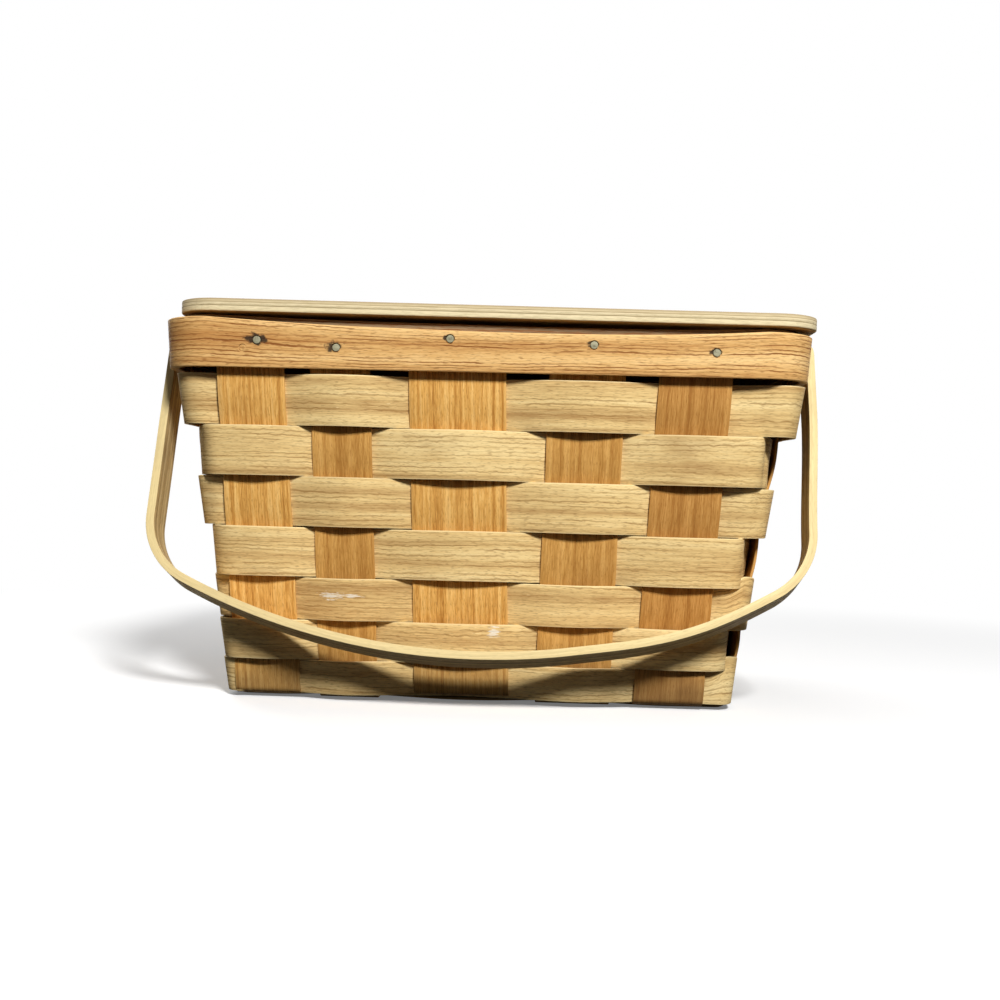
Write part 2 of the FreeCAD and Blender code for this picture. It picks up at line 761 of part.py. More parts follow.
def knuckle(name, strips, number):
    start = knuckle_start_text(strips, number)
    return rod(name, "x", knuckle_radius_text, knuckle_length_text, start, hinge_y_text, hinge_z_text)


def pin_bore(name, strips):
    start = f"{hinge_x_text(strips)} - Sizes.hinge_width / 2 - Sizes.cut_overrun"
    length = "Sizes.hinge_width + 2 * Sizes.cut_overrun"
    return rod(name, "x", pin_bore_text, length, start, hinge_y_text, hinge_z_text)


def rim_leaf(side_name, strips):
    name = f"hinge_rim_leaf_{side_name}"
    start = f"({hinge_x_text(strips)} - Sizes.hinge_width / 2)"
    face = "Sizes.rim_depth / 2"
    plate_height = f"{plate_top_text} - {plate_bottom_text}"
    plate_name = f"{name}_plate"
    pieces = [box(plate_name, "Sizes.hinge_width", leaf_text, plate_height, start, face, plate_bottom_text)]
    for number in (0, 2):
        tab_start = knuckle_start_text(strips, number)
        tab_height = f"{hinge_z_text} - {plate_top_text}"
        tab = box(f"{name}_tab", knuckle_length_text, leaf_text, tab_height, tab_start, face, plate_top_text)
        pieces.append(tab)
        pieces.append(knuckle(f"{name}_knuckle", strips, number))
    tools = [pin_bore(f"{name}_bore", strips)]
    for side in screw_sides:
        x_text = screw_x_text(strips, side)
        shank = rod(
            f"{name}_screw_hole", "y", screw_hole_text, f"{leaf_text} + 2 * Sizes.cut_overrun",
            x_text, f"{face} - Sizes.cut_overrun", rim_screw_z_text,
        )
        head = rod(
            f"{name}_head_hole", "y", screw_head_bore_text, "Sizes.screw_head_thickness + Sizes.cut_overrun",
            x_text, f"{face} + {leaf_text} - Sizes.screw_head_thickness", rim_screw_z_text,
        )
        tools += [shank, head]
    keep(drilled(name, joined(f"{name}_blank", pieces), tools), name)


def lid_leaf(side_name, strips):
    name = f"hinge_lid_leaf_{side_name}"
    start = f"({hinge_x_text(strips)} - Sizes.hinge_width / 2)"
    under = f"({lid_bottom_text} - {leaf_text})"
    plate_depth = f"{lid_plate_end_text} - {lid_plate_start_text}"
    tab_depth = f"{lid_plate_start_text} - {hinge_y_text}"
    tab_start = knuckle_start_text(strips, 1)
    pieces = [
        box(f"{name}_plate", "Sizes.hinge_width", plate_depth, leaf_text, start, lid_plate_start_text, under),
        box(f"{name}_tab", knuckle_length_text, tab_depth, leaf_text, tab_start, hinge_y_text, under),
        knuckle(f"{name}_knuckle", strips, 1),
    ]
    tools = [pin_bore(f"{name}_bore", strips)]
    for side in screw_sides:
        x_text = screw_x_text(strips, side)
        shank = rod(
            f"{name}_screw_hole", "z", screw_hole_text, f"{leaf_text} + 2 * Sizes.cut_overrun",
            x_text, lid_screw_y_text, f"{under} - Sizes.cut_overrun",
        )
        head = rod(
            f"{name}_head_hole", "z", screw_head_bore_text, "Sizes.screw_head_thickness + Sizes.cut_overrun",
            x_text, lid_screw_y_text, f"{under} - Sizes.cut_overrun",
        )
        tools += [shank, head]
    keep(drilled(name, joined(f"{name}_blank", pieces), tools), name)


def hinge_pin(side_name, strips):
    start = f"{hinge_x_text(strips)} - Sizes.hinge_width / 2 - Sizes.hinge_pin_end"
    length = "Sizes.hinge_width + 2 * Sizes.hinge_pin_end"
    name = f"hinge_pin_{side_name}"
    keep(rod(name, "x", "Sizes.hinge_pin_diameter / 2", length, start, hinge_y_text, hinge_z_text), name)


for side_name, strips in hinge_strips.items():
    rim_leaf(side_name, strips)
    lid_leaf(side_name, strips)
    hinge_pin(side_name, strips)

rim_screws = []
lid_screws = []
for pair in screw_pairs:
    face = f"(Sizes.rim_depth / 2 + {leaf_text})"
    x_text = screw_x_text(*pair)
    shank = rod(
        "rim_screw_shank", "y", "Sizes.screw_shank_diameter / 2", "Sizes.screw_length",
        x_text, f"{face} - Sizes.screw_length", rim_screw_z_text,
    )
    head = rod(
        "rim_screw_head", "y", "Sizes.screw_head_diameter / 2", "Sizes.screw_head_thickness",
        x_text, f"{face} - Sizes.screw_head_thickness", rim_screw_z_text,
    )
    rim_screws.append(joined("rim_screw", [shank, head]))
    under = f"({lid_bottom_text} - {leaf_text})"
    shank = rod(
        "lid_screw_shank", "z", "Sizes.screw_shank_diameter / 2", "Sizes.screw_length",
        x_text, lid_screw_y_text, under,
    )
    head = rod(
        "lid_screw_head", "z", "Sizes.screw_head_diameter / 2", "Sizes.screw_head_thickness",
        x_text, lid_screw_y_text, under,
    )
    lid_screws.append(joined("lid_screw", [shank, head]))
group("hinge_rim_screws", rim_screws)
group("hinge_lid_screws", lid_screws)


# Rim nails: driven from outside through the outer rim, a strip and the inner rim
nail_length_text = f"({inner_rim_inset_text} + Sizes.inner_rim_thickness - Sizes.nail_point_inset)"


def rim_nail(way, outward, face_text, x_text, y_text, z_text):
    # outward is the sign of the rim face that carries the head; x and y texts give the other place
    shank_start = face_text if outward < 0 else f"{face_text} - {nail_length_text}"
    head_start = f"{face_text} - Sizes.nail_head_thickness" if outward < 0 else face_text
    places = []
    for start in (shank_start, head_start):
        places.append((start, y_text, z_text) if way == "x" else (x_text, start, z_text))
    shank = rod("nail_shank", way, "Sizes.nail_shank_diameter / 2", nail_length_text, *places[0])
    head = rod("nail_head", way, "Sizes.nail_head_diameter / 2", "Sizes.nail_head_thickness", *places[1])
    return joined("nail", [shank, head])


nails = []
for outward in (-1, 1):
    for index in range(len(cross_stakes)):
        z_text = f"{rim_bottom_text} + {nail_height_text(index)}"
        face_text = f"{outward} * Sizes.rim_depth / 2"
        nails.append(rim_nail("y", outward, face_text, nail_place_text(index, outward), "0", z_text))
    nails.append(rim_nail("x", outward, f"{outward} * Sizes.rim_length / 2", "0", "0", pivot_height_text))
group("rim_nails", nails)


# Handles: a bent band with straight legs, round shoulders and a bowed grip, hung on rivets
handle_inner_half = size("rim_length") / 2 + size("spacer_thickness") + size("handle_gap")
handle_inner_text = "(Sizes.rim_length / 2 + Sizes.spacer_thickness + Sizes.handle_gap)"
handle_outer_half = handle_inner_half + size("handle_thickness")
handle_outer_text = f"({handle_inner_text} + Sizes.handle_thickness)"
shoulder_radius = size("handle_corner_radius")
bow_radius = size("handle_bow_radius")
shoulder_x = handle_outer_half - shoulder_radius
bow_centre_z = bow_radius - size("handle_length")
shoulder_z = bow_centre_z - math.sqrt((bow_radius - shoulder_radius) ** 2 - shoulder_x ** 2)
shoulder_angle = math.atan2(shoulder_z - bow_centre_z, shoulder_x)


def handle_outline(inset):
    # points (x, z) along one half of the band's line, from the leg's end to the middle of the grip
    step_count = 24
    points = [(handle_outer_half - inset, size("handle_end_reach"))]
    for step in range(step_count + 1):
        angle = shoulder_angle * step / step_count
        reach = shoulder_radius - inset
        points.append((shoulder_x + reach * math.cos(angle), shoulder_z + reach * math.sin(angle)))
    for step in range(1, step_count + 1):
        angle = shoulder_angle - (shoulder_angle + math.pi / 2) * step / step_count
        reach = bow_radius - inset
        points.append((reach * math.cos(angle), bow_centre_z + reach * math.sin(angle)))
    return points


def front_wall(x, z):
    # how far the weave's outside stands in front of the middle at one place, or none beside the body
    out = weaver_offset + size("strip_thickness") / 2
    radius = corner_radius(z)
    past_straight = x - (wall_half("length", z) - radius)
    if past_straight > radius + out:
        return None
    if past_straight < 0:
        return wall_half("depth", z) + out
    return wall_half("depth", z) - radius + math.sqrt((radius + out) ** 2 - past_straight ** 2)


def handle_rest_clearance(angle):
    gaps = []
    for inset in (0, size("handle_thickness")):
        for x, z in handle_outline(inset):
            back_edge = size("handle_width") / 2
            y_out = size("pivot_spread") / 2 - back_edge * math.cos(angle) - z * math.sin(angle)
            height = pivot_height - back_edge * math.sin(angle) + z * math.cos(angle)
            wall = front_wall(x, min(height, rim_bottom)) if height > 0 else None
            if wall is not None:
                gaps.append(y_out - wall)
    return min(gaps)


low_angle, high_angle = 0, math.pi / 3
for _ in range(40):
    middle_angle = (low_angle + high_angle) / 2
    if handle_rest_clearance(middle_angle) < size("handle_rest_gap"):
        low_angle = middle_angle
    else:
        high_angle = middle_angle
handle_rest_angle = math.degrees(high_angle)


def handle_sketch(body, name):
    sketch = new_sketch(body, f"{name}_line", "XZ_Plane")
    top = size("handle_end_reach")
    halves = []
    for inset in (0, size("handle_thickness")):
        leg_x = handle_outer_half - inset
        leg = sketch.addGeometry(Part.LineSegment(Vector(leg_x, top), Vector(leg_x, shoulder_z)), False)
        circle = Part.Circle(Vector(shoulder_x, shoulder_z), Vector(0, 0, 1), shoulder_radius - inset)
        shoulder = sketch.addGeometry(Part.ArcOfCircle(circle, shoulder_angle, 0), False)
        circle = Part.Circle(Vector(0, bow_centre_z), Vector(0, 0, 1), bow_radius - inset)
        bow = sketch.addGeometry(Part.ArcOfCircle(circle, -math.pi / 2, shoulder_angle), False)
        sketch.addConstraint(Sketcher.Constraint("Vertical", leg))
        sketch.addConstraint(Sketcher.Constraint("Tangent", leg, 2, shoulder, 2))
        sketch.addConstraint(Sketcher.Constraint("Tangent", shoulder, 1, bow, 2))
        sketch.addConstraint(Sketcher.Constraint("PointOnObject", bow, 1, -2))
        halves.append((leg, shoulder, bow))
    (leg, shoulder, bow), (inner_leg, inner_shoulder, inner_bow) = halves
    end_top = Part.LineSegment(Vector(handle_outer_half, top), Vector(handle_inner_half, top))
    end = sketch.addGeometry(end_top, False)
    grip_low = Vector(0, -size("handle_length"))
    grip_high = Vector(0, size("handle_thickness") - size("handle_length"))
    middle = sketch.addGeometry(Part.LineSegment(grip_low, grip_high), False)
    sketch.addConstraint(Sketcher.Constraint("PointOnObject", bow, 3, -2))
    sketch.addConstraint(Sketcher.Constraint("Coincident", shoulder, 3, inner_shoulder, 3))
    sketch.addConstraint(Sketcher.Constraint("Coincident", bow, 3, inner_bow, 3))
    sketch.addConstraint(Sketcher.Constraint("Coincident", end, 1, leg, 1))
    sketch.addConstraint(Sketcher.Constraint("Coincident", end, 2, inner_leg, 1))
    sketch.addConstraint(Sketcher.Constraint("Horizontal", end))
    sketch.addConstraint(Sketcher.Constraint("Coincident", middle, 1, bow, 1))
    sketch.addConstraint(Sketcher.Constraint("Coincident", middle, 2, inner_bow, 1))
    named = (
        ("outer_half", handle_outer_text, ("DistanceX", -1, 1, leg, 1, handle_outer_half)),
        ("inner_half", handle_inner_text, ("DistanceX", -1, 1, inner_leg, 1, handle_inner_half)),
        ("end_reach", "Sizes.handle_end_reach", ("DistanceY", -1, 1, leg, 1, top)),
        ("length", "Sizes.handle_length", ("DistanceY", bow, 1, -1, 1, size("handle_length"))),
        ("shoulder", "Sizes.handle_corner_radius", ("Radius", shoulder, shoulder_radius)),
        ("bow", "Sizes.handle_bow_radius", ("Radius", bow, bow_radius)),
    )
    for constraint_name, text, places in named:
        name_size(sketch, Sketcher.Constraint(*places), constraint_name, text)
    return sketch


def handle(name, side):
    body = new_body(name)
    half = padded(body, handle_sketch(body, name), f"{name}_half", "Sizes.handle_width", True)
    mirror = body.newObject("PartDesign::Mirrored", f"{name}_mirror")
    plane = [part for part in body.Origin.OriginFeatures if part.Role == "YZ_Plane"][0]
    mirror.MirrorPlane = (plane, [""])
    mirror.Originals = [half]
    body.Tip = mirror
    doc.recompute()
    hole = new_sketch(body, f"{name}_hole", "YZ_Plane")
    circle = hole.addGeometry(Part.Circle(Vector(), Vector(0, 0, 1), pivot_hole_radius), False)
    hole.addConstraint(Sketcher.Constraint("Coincident", circle, 3, -1, 1))
    name_size(hole, Sketcher.Constraint("Radius", circle, pivot_hole_radius), "pivot_radius", pivot_hole_text)
    cut = pocketed(body, hole, f"{name}_hole_cut", True)
    corners = []
    for number, edge in enumerate(body.Shape.Edges, start=1):
        ends = [vertex.Point for vertex in edge.Vertexes]
        tops = all(abs(point.z - size("handle_end_reach")) < same_place for point in ends)
        across = len(ends) == 2 and abs(ends[0].y - ends[1].y) < same_place
        if tops and across:
            corners.append(f"Edge{number}")
    rounding = body.newObject("PartDesign::Fillet", f"{name}_end_round")
    rounding.Base = (cut, corners)
    bind(rounding, Radius=f"{handle_end_round_share} * Sizes.handle_width")
    doc.recompute()
    turn = FreeCAD.Rotation(Vector(1, 0, 0), side * handle_rest_angle)
    body.Placement = FreeCAD.Placement(Vector(0, side * size("pivot_spread") / 2, pivot_height), turn)
    keep(body, name)


handle("front_handle", -1)
handle("back_handle", 1)

# Pivots: a headed rivet through the handle, a turned spacer, both rims and an end strip, over a burr
inner_face_text = f"(Sizes.rim_length / 2 - {inner_rim_inset_text} - Sizes.inner_rim_thickness)"
burr_face_text = f"({inner_face_text} - Sizes.burr_thickness)"
rivet_start_text = f"({burr_face_text} - Sizes.rivet_tail_height)"
head_face_text = f"({handle_outer_text} + Sizes.handle_gap)"
rivets, spacers, burrs = [], [], []


def sided(side, near_text, length_text):
    # where a bar along +X starts so that it spans near to near + length on that end of the basket
    return near_text if side > 0 else f"-({near_text} + {length_text})"


def end_rod(name, side, radius_text, near_text, length_text, y_text):
    start = sided(side, near_text, f"({length_text})")
    return rod(name, "x", radius_text, length_text, start, y_text, pivot_height_text)


for side in (-1, 1):
    for depth_side in (-1, 1):
        y_text = f"{depth_side} * Sizes.pivot_spread / 2"
        shank_length = f"{head_face_text} + Sizes.rivet_head_height - {rivet_start_text}"
        rivet_parts = []
        for kind, diameter, near, length in (
            ("shank", "Sizes.rivet_diameter", rivet_start_text, shank_length),
            ("head", "Sizes.rivet_head_diameter", head_face_text, "Sizes.rivet_head_height"),
            ("tail", "Sizes.rivet_tail_diameter", rivet_start_text, "Sizes.rivet_tail_height"),
        ):
            rivet_parts.append(end_rod(f"rivet_{kind}", side, f"{diameter} / 2", near, length, y_text))
        rivets.append(joined("rivet", rivet_parts))
        for kind, near, thickness, diameter, pile in (
            ("spacer", "Sizes.rim_length / 2", "Sizes.spacer_thickness", "Sizes.spacer_diameter", spacers),
            ("burr", burr_face_text, "Sizes.burr_thickness", "Sizes.burr_diameter", burrs),
        ):
            ring = end_rod(f"{kind}_ring", side, f"{diameter} / 2", near, thickness, y_text)
            bore_near = f"({near} - Sizes.cut_overrun)"
            bore_length = f"{thickness} + 2 * Sizes.cut_overrun"
            bore = end_rod(f"{kind}_bore", side, pivot_hole_text, bore_near, bore_length, y_text)
            pile.append(drilled(kind, ring, [bore]))
group("handle_rivets", rivets)
group("handle_spacers", spacers)
group("rivet_burrs", burrs)

doc.recompute()
for piece in doc.Objects:
    if "Invalid" in piece.State or "Error" in piece.State:
        raise RuntimeError(f"{piece.Name} did not rebuild")
for piece in nodes:
    if piece.Shape.isNull() or not piece.Shape.isValid():
        raise RuntimeError(f"{piece.Label} has no valid shape")

os.makedirs("parts", exist_ok=True)
for piece in nodes:
    piece.Shape.exportStep(f"parts/{piece.Label}.step")
print(f"{len(nodes)} pieces, handles rest {handle_rest_angle:.2f} degrees from hanging straight down")
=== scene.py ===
import math
import bpy
import numpy as np
from mathutils import Matrix, Quaternion, Vector


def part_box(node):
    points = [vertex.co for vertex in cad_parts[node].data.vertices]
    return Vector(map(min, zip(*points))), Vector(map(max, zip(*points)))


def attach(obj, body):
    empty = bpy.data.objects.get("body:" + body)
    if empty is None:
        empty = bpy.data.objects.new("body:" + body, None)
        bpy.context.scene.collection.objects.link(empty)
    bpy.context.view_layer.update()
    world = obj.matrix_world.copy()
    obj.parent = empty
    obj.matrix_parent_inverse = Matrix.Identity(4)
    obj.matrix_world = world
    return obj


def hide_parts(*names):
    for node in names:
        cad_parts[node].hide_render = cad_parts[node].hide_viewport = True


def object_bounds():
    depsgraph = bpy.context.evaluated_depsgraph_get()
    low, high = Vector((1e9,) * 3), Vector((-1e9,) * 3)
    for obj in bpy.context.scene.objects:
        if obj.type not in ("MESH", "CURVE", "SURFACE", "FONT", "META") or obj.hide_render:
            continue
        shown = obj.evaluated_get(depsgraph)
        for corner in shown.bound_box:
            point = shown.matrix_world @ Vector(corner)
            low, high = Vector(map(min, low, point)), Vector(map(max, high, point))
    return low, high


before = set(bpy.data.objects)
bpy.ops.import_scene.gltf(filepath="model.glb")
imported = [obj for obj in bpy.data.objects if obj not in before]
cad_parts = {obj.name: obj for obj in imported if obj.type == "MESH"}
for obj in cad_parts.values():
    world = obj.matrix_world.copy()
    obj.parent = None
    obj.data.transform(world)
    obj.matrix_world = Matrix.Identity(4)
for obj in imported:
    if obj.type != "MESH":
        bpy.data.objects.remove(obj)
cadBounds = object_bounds()
mm = 0.001
smoothAngle = math.radians(35)  # flatter folds than this shade as one face
print("frame loaded,", len(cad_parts), "nodes")


def tone(red, green, blue):  # a colour as it shows on screen, 0 to 255, made linear
    channels = []
    for level in (red, green, blue):
        share = level / 255
        channels.append(share / 12.92 if share <= 0.04045 else ((share + 0.055) / 1.055) ** 2.4)
    return (*channels, 1)


def only(piece):
    bpy.ops.object.select_all(action="DESELECT")
    piece.select_set(True)
    bpy.context.view_layer.objects.active = piece


def editAll(piece):
    only(piece)
    bpy.ops.object.mode_set(mode="EDIT")
    bpy.ops.mesh.select_all(action="SELECT")


def modify(piece, kind, **settings):  # add a modifier and apply it at once
    only(piece)
    modifier = piece.modifiers.new(kind.lower(), kind)
    for key, value in settings.items():
        setattr(modifier, key, value)
    bpy.ops.object.modifier_apply(modifier=modifier.name)


def easeEdges(piece, width, segments, turn):  # round the edges that turn by more degrees than this
    limit = math.radians(turn)
    modify(piece, "BEVEL", width=width * mm, segments=segments, limit_method="ANGLE", angle_limit=limit)


def settle(piece, body, slot, finish, *nodes):  # the last step of each piece
    only(piece)
    bpy.ops.object.transform_apply()
    bpy.ops.object.shade_smooth_by_angle(angle=smoothAngle)
    piece.data.materials.clear()
    piece.data.materials.append(finish)
    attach(piece, body)
    if nodes:
        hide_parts(*nodes)


# shader sums: a reading is a node's output that can stand in a Python expression
class Reading:
    def __init__(self, finish, socket):
        self.finish = finish
        self.socket = socket

    def sum(self, operation, first, second=0.0):
        return self.finish.node("ShaderNodeMath", {"operation": operation}, {0: first, 1: second})

    def __add__(self, other):
        return self.sum("ADD", self, other)

    def __radd__(self, other):
        return self.sum("ADD", other, self)

    def __sub__(self, other):
        return self.sum("SUBTRACT", self, other)

    def __rsub__(self, other):
        return self.sum("SUBTRACT", other, self)

    def __mul__(self, other):
        return self.sum("MULTIPLY", self, other)

    def larger(self, other):
        return self.sum("MAXIMUM", self, other)

    def sine(self):
        return self.sum("SINE", self)

    def size(self):
        return self.sum("ABSOLUTE", self)


class Finish:  # the nodes of a material, or of the world
    def __init__(self, name, home=bpy.data.materials):
        self.owner = home.new(name)
        self.owner.use_nodes = True
        self.tree = self.owner.node_tree
        self.tree.nodes.clear()

    def node(self, kind, settings=None, sockets=None, output=0):
        made = self.tree.nodes.new(kind)
        for key, value in (settings or {}).items():
            if key == "stops":
                while len(made.color_ramp.elements) < len(value):
                    made.color_ramp.elements.new(0.5)
                for element, (position, colour) in zip(made.color_ramp.elements, value):
                    element.position = position
                    element.color = colour
            else:
                setattr(made, key, value)
        for key, value in (sockets or {}).items():
            if isinstance(value, Reading):
                self.tree.links.new(value.socket, made.inputs[key])
            else:
                made.inputs[key].default_value = value
        return Reading(self, made.outputs[output]) if made.outputs else made

    def grain(self):  # metres along and across the strip
        return self.node("ShaderNodeUVMap", {"uv_map": "UVMap"})

    def edge(self):  # 0 along the strip's middle, 1 at its long edges
        return self.parts(self.node("ShaderNodeUVMap", {"uv_map": "EdgeMap"}))[0]

    def place(self):
        return self.node("ShaderNodeTexCoord", output=3)

    def parts(self, vector):
        made = self.node("ShaderNodeSeparateXYZ", None, {0: vector})
        outputs = made.socket.node.outputs
        return [Reading(self, outputs[index]) for index in range(3)]

    def stretch(self, vector, scale):
        return self.node("ShaderNodeMapping", None, {"Vector": vector, "Scale": scale})

    def noise(self, vector, scale, detail=2.0, roughness=0.5):
        sockets = {
            "Vector": self.stretch(vector, scale), "Scale": 1.0, "Detail": detail, "Roughness": roughness,
        }
        return self.node("ShaderNodeTexNoise", None, sockets)

    def span(self, value, low, high):  # a smooth step from 0 at low to 1 at high
        settings = {"interpolation_type": "SMOOTHSTEP"}
        return self.node("ShaderNodeMapRange", settings, {0: value, 1: low, 2: high})

    def patches(self, vector, scale, low, high, detail=2.0, roughness=0.5):  # a noise with clear edges
        return self.span(self.noise(vector, scale, detail, roughness), low, high)

    def mix(self, share, first, second):
        return self.node("ShaderNodeMix", {"data_type": "RGBA"}, {0: share, 6: first, 7: second}, 2)

    def ramp(self, value, stops):
        return self.node("ShaderNodeValToRGB", {"stops": stops}, {0: value})

    def bump(self, height, distance):
        return self.node("ShaderNodeBump", None, {"Strength": 1.0, "Distance": distance, "Height": height})

    def close(self, **sockets):
        named = {key.replace("_", " "): value for key, value in sockets.items()}
        shader = self.node("ShaderNodeBsdfPrincipled", None, named)
        self.node("ShaderNodeOutputMaterial", None, {0: shader})
        return self.owner


# woods: each look has its own colours and grain; a scale counts changes per metre along and across the strip;
# edge is the tone of worn edges and of the painted highlight along them, and the foot share sets the painted
# shade at the foot
plainWood = {"roughness": 0.6, "reliefDepth": 0.07 * mm}
weaverLook = {
    "pale": tone(246, 219, 158), "middle": tone(228, 195, 132), "dark": tone(186, 147, 92),
    "band": (2.5, 120, 1), "bandShare": 0.5, "fleck": (70, 1300, 1), "fleckShare": 0.25,
    "line": tone(160, 122, 70), "lineSpacing": 2.6 * mm, "lineWander": 1.6, "lineJag": 0.8, "lineDepth": 0.7,
    "breaks": (45, 420, 1),
    "pore": tone(140, 100, 56), "poreScale": (260, 1900, 1), "poreShare": 0.45,
    "soil": tone(160, 124, 78), "soilShare": 0.5, "edge": tone(248, 226, 170), "footShadeShare": 0.05,
    "spots": {"shade": tone(240, 236, 222), "share": 0.75, "fineness": (230, 500, 1900), "ragged": 4.0},
    **plainWood,
}
stakeLook = {
    "pale": tone(240, 193, 116), "middle": tone(221, 167, 88), "dark": tone(184, 128, 58),
    "band": (5, 430, 1), "bandShare": 0.62, "fleck": (110, 1700, 1), "fleckShare": 0.45,
    "line": tone(160, 104, 44), "lineSpacing": 3.6 * mm, "lineWander": 0.8, "lineJag": 0.3, "lineDepth": 0.3,
    "breaks": (130, 520, 1),
    "pore": tone(146, 92, 36), "poreScale": (320, 2300, 1), "poreShare": 0.4,
    "soil": tone(150, 100, 48), "soilShare": 0.2, "edge": tone(222, 176, 104), "footShadeShare": 0.5,
    **plainWood,
}
tanStakeLook = {
    **stakeLook, "pale": tone(218, 168, 95), "middle": tone(199, 148, 77), "dark": tone(172, 121, 57),
    "band": (4, 260, 1), "bandShare": 0.6, "edge": tone(206, 156, 88),
}
brownStakeLook = {
    **tanStakeLook, "pale": tone(204, 152, 84), "middle": tone(184, 132, 67), "dark": tone(158, 106, 49),
    "edge": tone(190, 140, 74),
}
handleLook = {
    "pale": tone(240, 216, 160), "middle": tone(212, 182, 126), "dark": tone(166, 136, 90),
    "band": (2, 260, 1), "bandShare": 0.5, "fleck": (70, 1300, 1), "fleckShare": 0.3,
    "line": tone(140, 110, 68), "lineSpacing": 3.6 * mm, "lineWander": 0.9, "lineJag": 0.3, "lineDepth": 0.55,
    "breaks": (60, 520, 1),
    "pore": tone(128, 98, 58), "poreScale": (220, 1900, 1), "poreShare": 0.45,
    "soil": tone(122, 100, 70), "soilShare": 0.45, "edge": tone(230, 211, 156), "footShadeShare": 0,
    **plainWood,
}
rimLook = {
    "pale": tone(244, 204, 140), "middle": tone(223, 176, 110), "dark": tone(192, 138, 78),
    "band": (3, 110, 1), "bandShare": 0.5, "fleck": (90, 1300, 1), "fleckShare": 0.3,
    "line": tone(134, 80, 38), "lineSpacing": 2.3 * mm, "lineWander": 2.4, "lineJag": 0.5, "lineDepth": 0.95,
    "breaks": (42, 400, 1),
    "pore": tone(130, 78, 36), "poreScale": (230, 1700, 1), "poreShare": 0.55,
    "soil": tone(164, 112, 62), "soilShare": 0.3, "edge": tone(230, 188, 124), "footShadeShare": 0,
    "spots": {"shade": tone(40, 34, 30), "share": 0.92, "fineness": (330, 330, 420), "ragged": 1.6},
    "roughness": 0.58, "reliefDepth": 0.08 * mm,
}
wood = {  # for all woods: each mark's scale, start and full strength, then its noise's detail and roughness
    "drift": (7, 50, 1), "jag": (190, 150, 1), "cloud": (6, 18, 1),
    "strong": ((5, 170, 1), 0.32, 0.58), "soil": ((11, 16, 1), 0.52, 0.74, 4.0, 0.65),
    "scuff": ((110, 420, 1), 0.70, 0.76, 2.0, 0.7), "breaks": (0.32, 0.56), "pores": (0.54, 0.70, 1.0),
    "ridge": (0.25, 0.98), "wornAndLitEdge": (0.93, 0.995), "toneStops": (0.37, 0.50, 0.63),
    "wornAndLitEdgeShare": 0.6, "scuffShare": 0.6, "footRagged": 0.03,
    "lineRelief": -0.6, "poreRelief": -0.5, "fleckRelief": 0.35, "soilRoughness": 0.2, "shine": 0.08,
}
# painted shade: strips darken towards this colour near the foot, between top and bottom, standing in for the
# handle's shadow on the bottom rows
footShade = {"top": 34 * mm, "bottom": 8 * mm, "colour": tone(88, 74, 54)}


def woodColour(finish, look):
    # colour and relief of a riven strip: broken growth lines along it, short pores, worn and soiled
    # stretches, edges lightened as worn and as a painted highlight, and painted shade towards the foot
    grain = finish.grain()
    across = finish.parts(grain)[1]
    drift = finish.noise(grain, wood["drift"], 3.0)
    jag = finish.noise(grain, wood["jag"])
    phase = across * (1 / look["lineSpacing"]) + (drift - 0.5) * (2 * look["lineWander"])
    wave = ((phase + (jag - 0.5) * look["lineJag"]) * (2 * math.pi)).sine()
    ridge = finish.span(wave, *wood["ridge"])
    strong = finish.patches(grain, *wood["strong"])
    broken = finish.patches(grain, look["breaks"], *wood["breaks"])
    line = ridge * broken * strong
    pores = finish.patches(grain, look["poreScale"], *wood["pores"])
    fleck = finish.noise(grain, look["fleck"])
    band = finish.noise(grain, look["band"])
    cloud = finish.noise(grain, wood["cloud"], 3.0, 0.6)
    plain = 1 - look["bandShare"] - look["fleckShare"]
    stops = zip(wood["toneStops"], (look["dark"], look["middle"], look["pale"]))
    body = finish.ramp(cloud * plain + band * look["bandShare"] + fleck * look["fleckShare"], list(stops))
    lined = finish.mix(line * look["lineDepth"], body, look["line"])
    pored = finish.mix(pores * look["poreShare"], lined, look["pore"])
    soil = finish.patches(grain, *wood["soil"])
    soiled = finish.mix(soil * look["soilShare"], pored, look["soil"])
    # painted highlight, partly wear: the long edges and the strip's thickness are lightened towards the edge
    # tone, as edges that catch the light
    wornAndLitEdge = finish.span(finish.edge(), *wood["wornAndLitEdge"])
    worn = finish.mix(wornAndLitEdge * wood["wornAndLitEdgeShare"], soiled, look["edge"])
    scuff = finish.patches(grain, *wood["scuff"])
    worn = finish.mix(scuff * wood["scuffShare"], worn, look["edge"])
    # painted shade: the colour darkens towards the foot, as in the handle's shadow
    height = finish.parts(finish.place())[2] + (cloud - 0.5) * wood["footRagged"]
    foot = finish.span(height, footShade["top"], footShade["bottom"])
    colour = finish.mix(foot * look["footShadeShare"], worn, footShade["colour"])
    marks = line * wood["lineRelief"] + pores * wood["poreRelief"]
    relief = (marks + fleck * wood["fleckRelief"]) * (1 - wornAndLitEdge)
    return colour, relief, soil


def spotted(finish, colour, spots, shade, share, fineness, ragged):
    # ragged spots, each given by its middle and its reach along x, y and z
    place = finish.place()
    noise = finish.noise(place, fineness, 3.0)
    mask = None
    for middle, reach in spots:
        apart = finish.node("ShaderNodeVectorMath", {"operation": "SUBTRACT"}, {0: place, 1: middle})
        scaled = finish.stretch(apart, tuple(1 / length for length in reach))
        length = finish.node("ShaderNodeVectorMath", {"operation": "LENGTH"}, {0: scaled}, 1)
        spot = finish.span(length + (noise - 0.5) * ragged, 1.0, 0.5)
        mask = spot if mask is None else mask.larger(spot)
    return finish.mix(mask * share, colour, shade)


def woodFinish(name, look, spots=()):
    finish = Finish(name)
    colour, relief, soil = woodColour(finish, look)
    if spots:
        colour = spotted(finish, colour, spots, **look["spots"])
    return finish.close(
        Base_Color=colour, Roughness=look["roughness"] + soil * wood["soilRoughness"],
        Normal=finish.bump(relief, look["reliefDepth"]), Specular_IOR_Level=wood["shine"],
    )


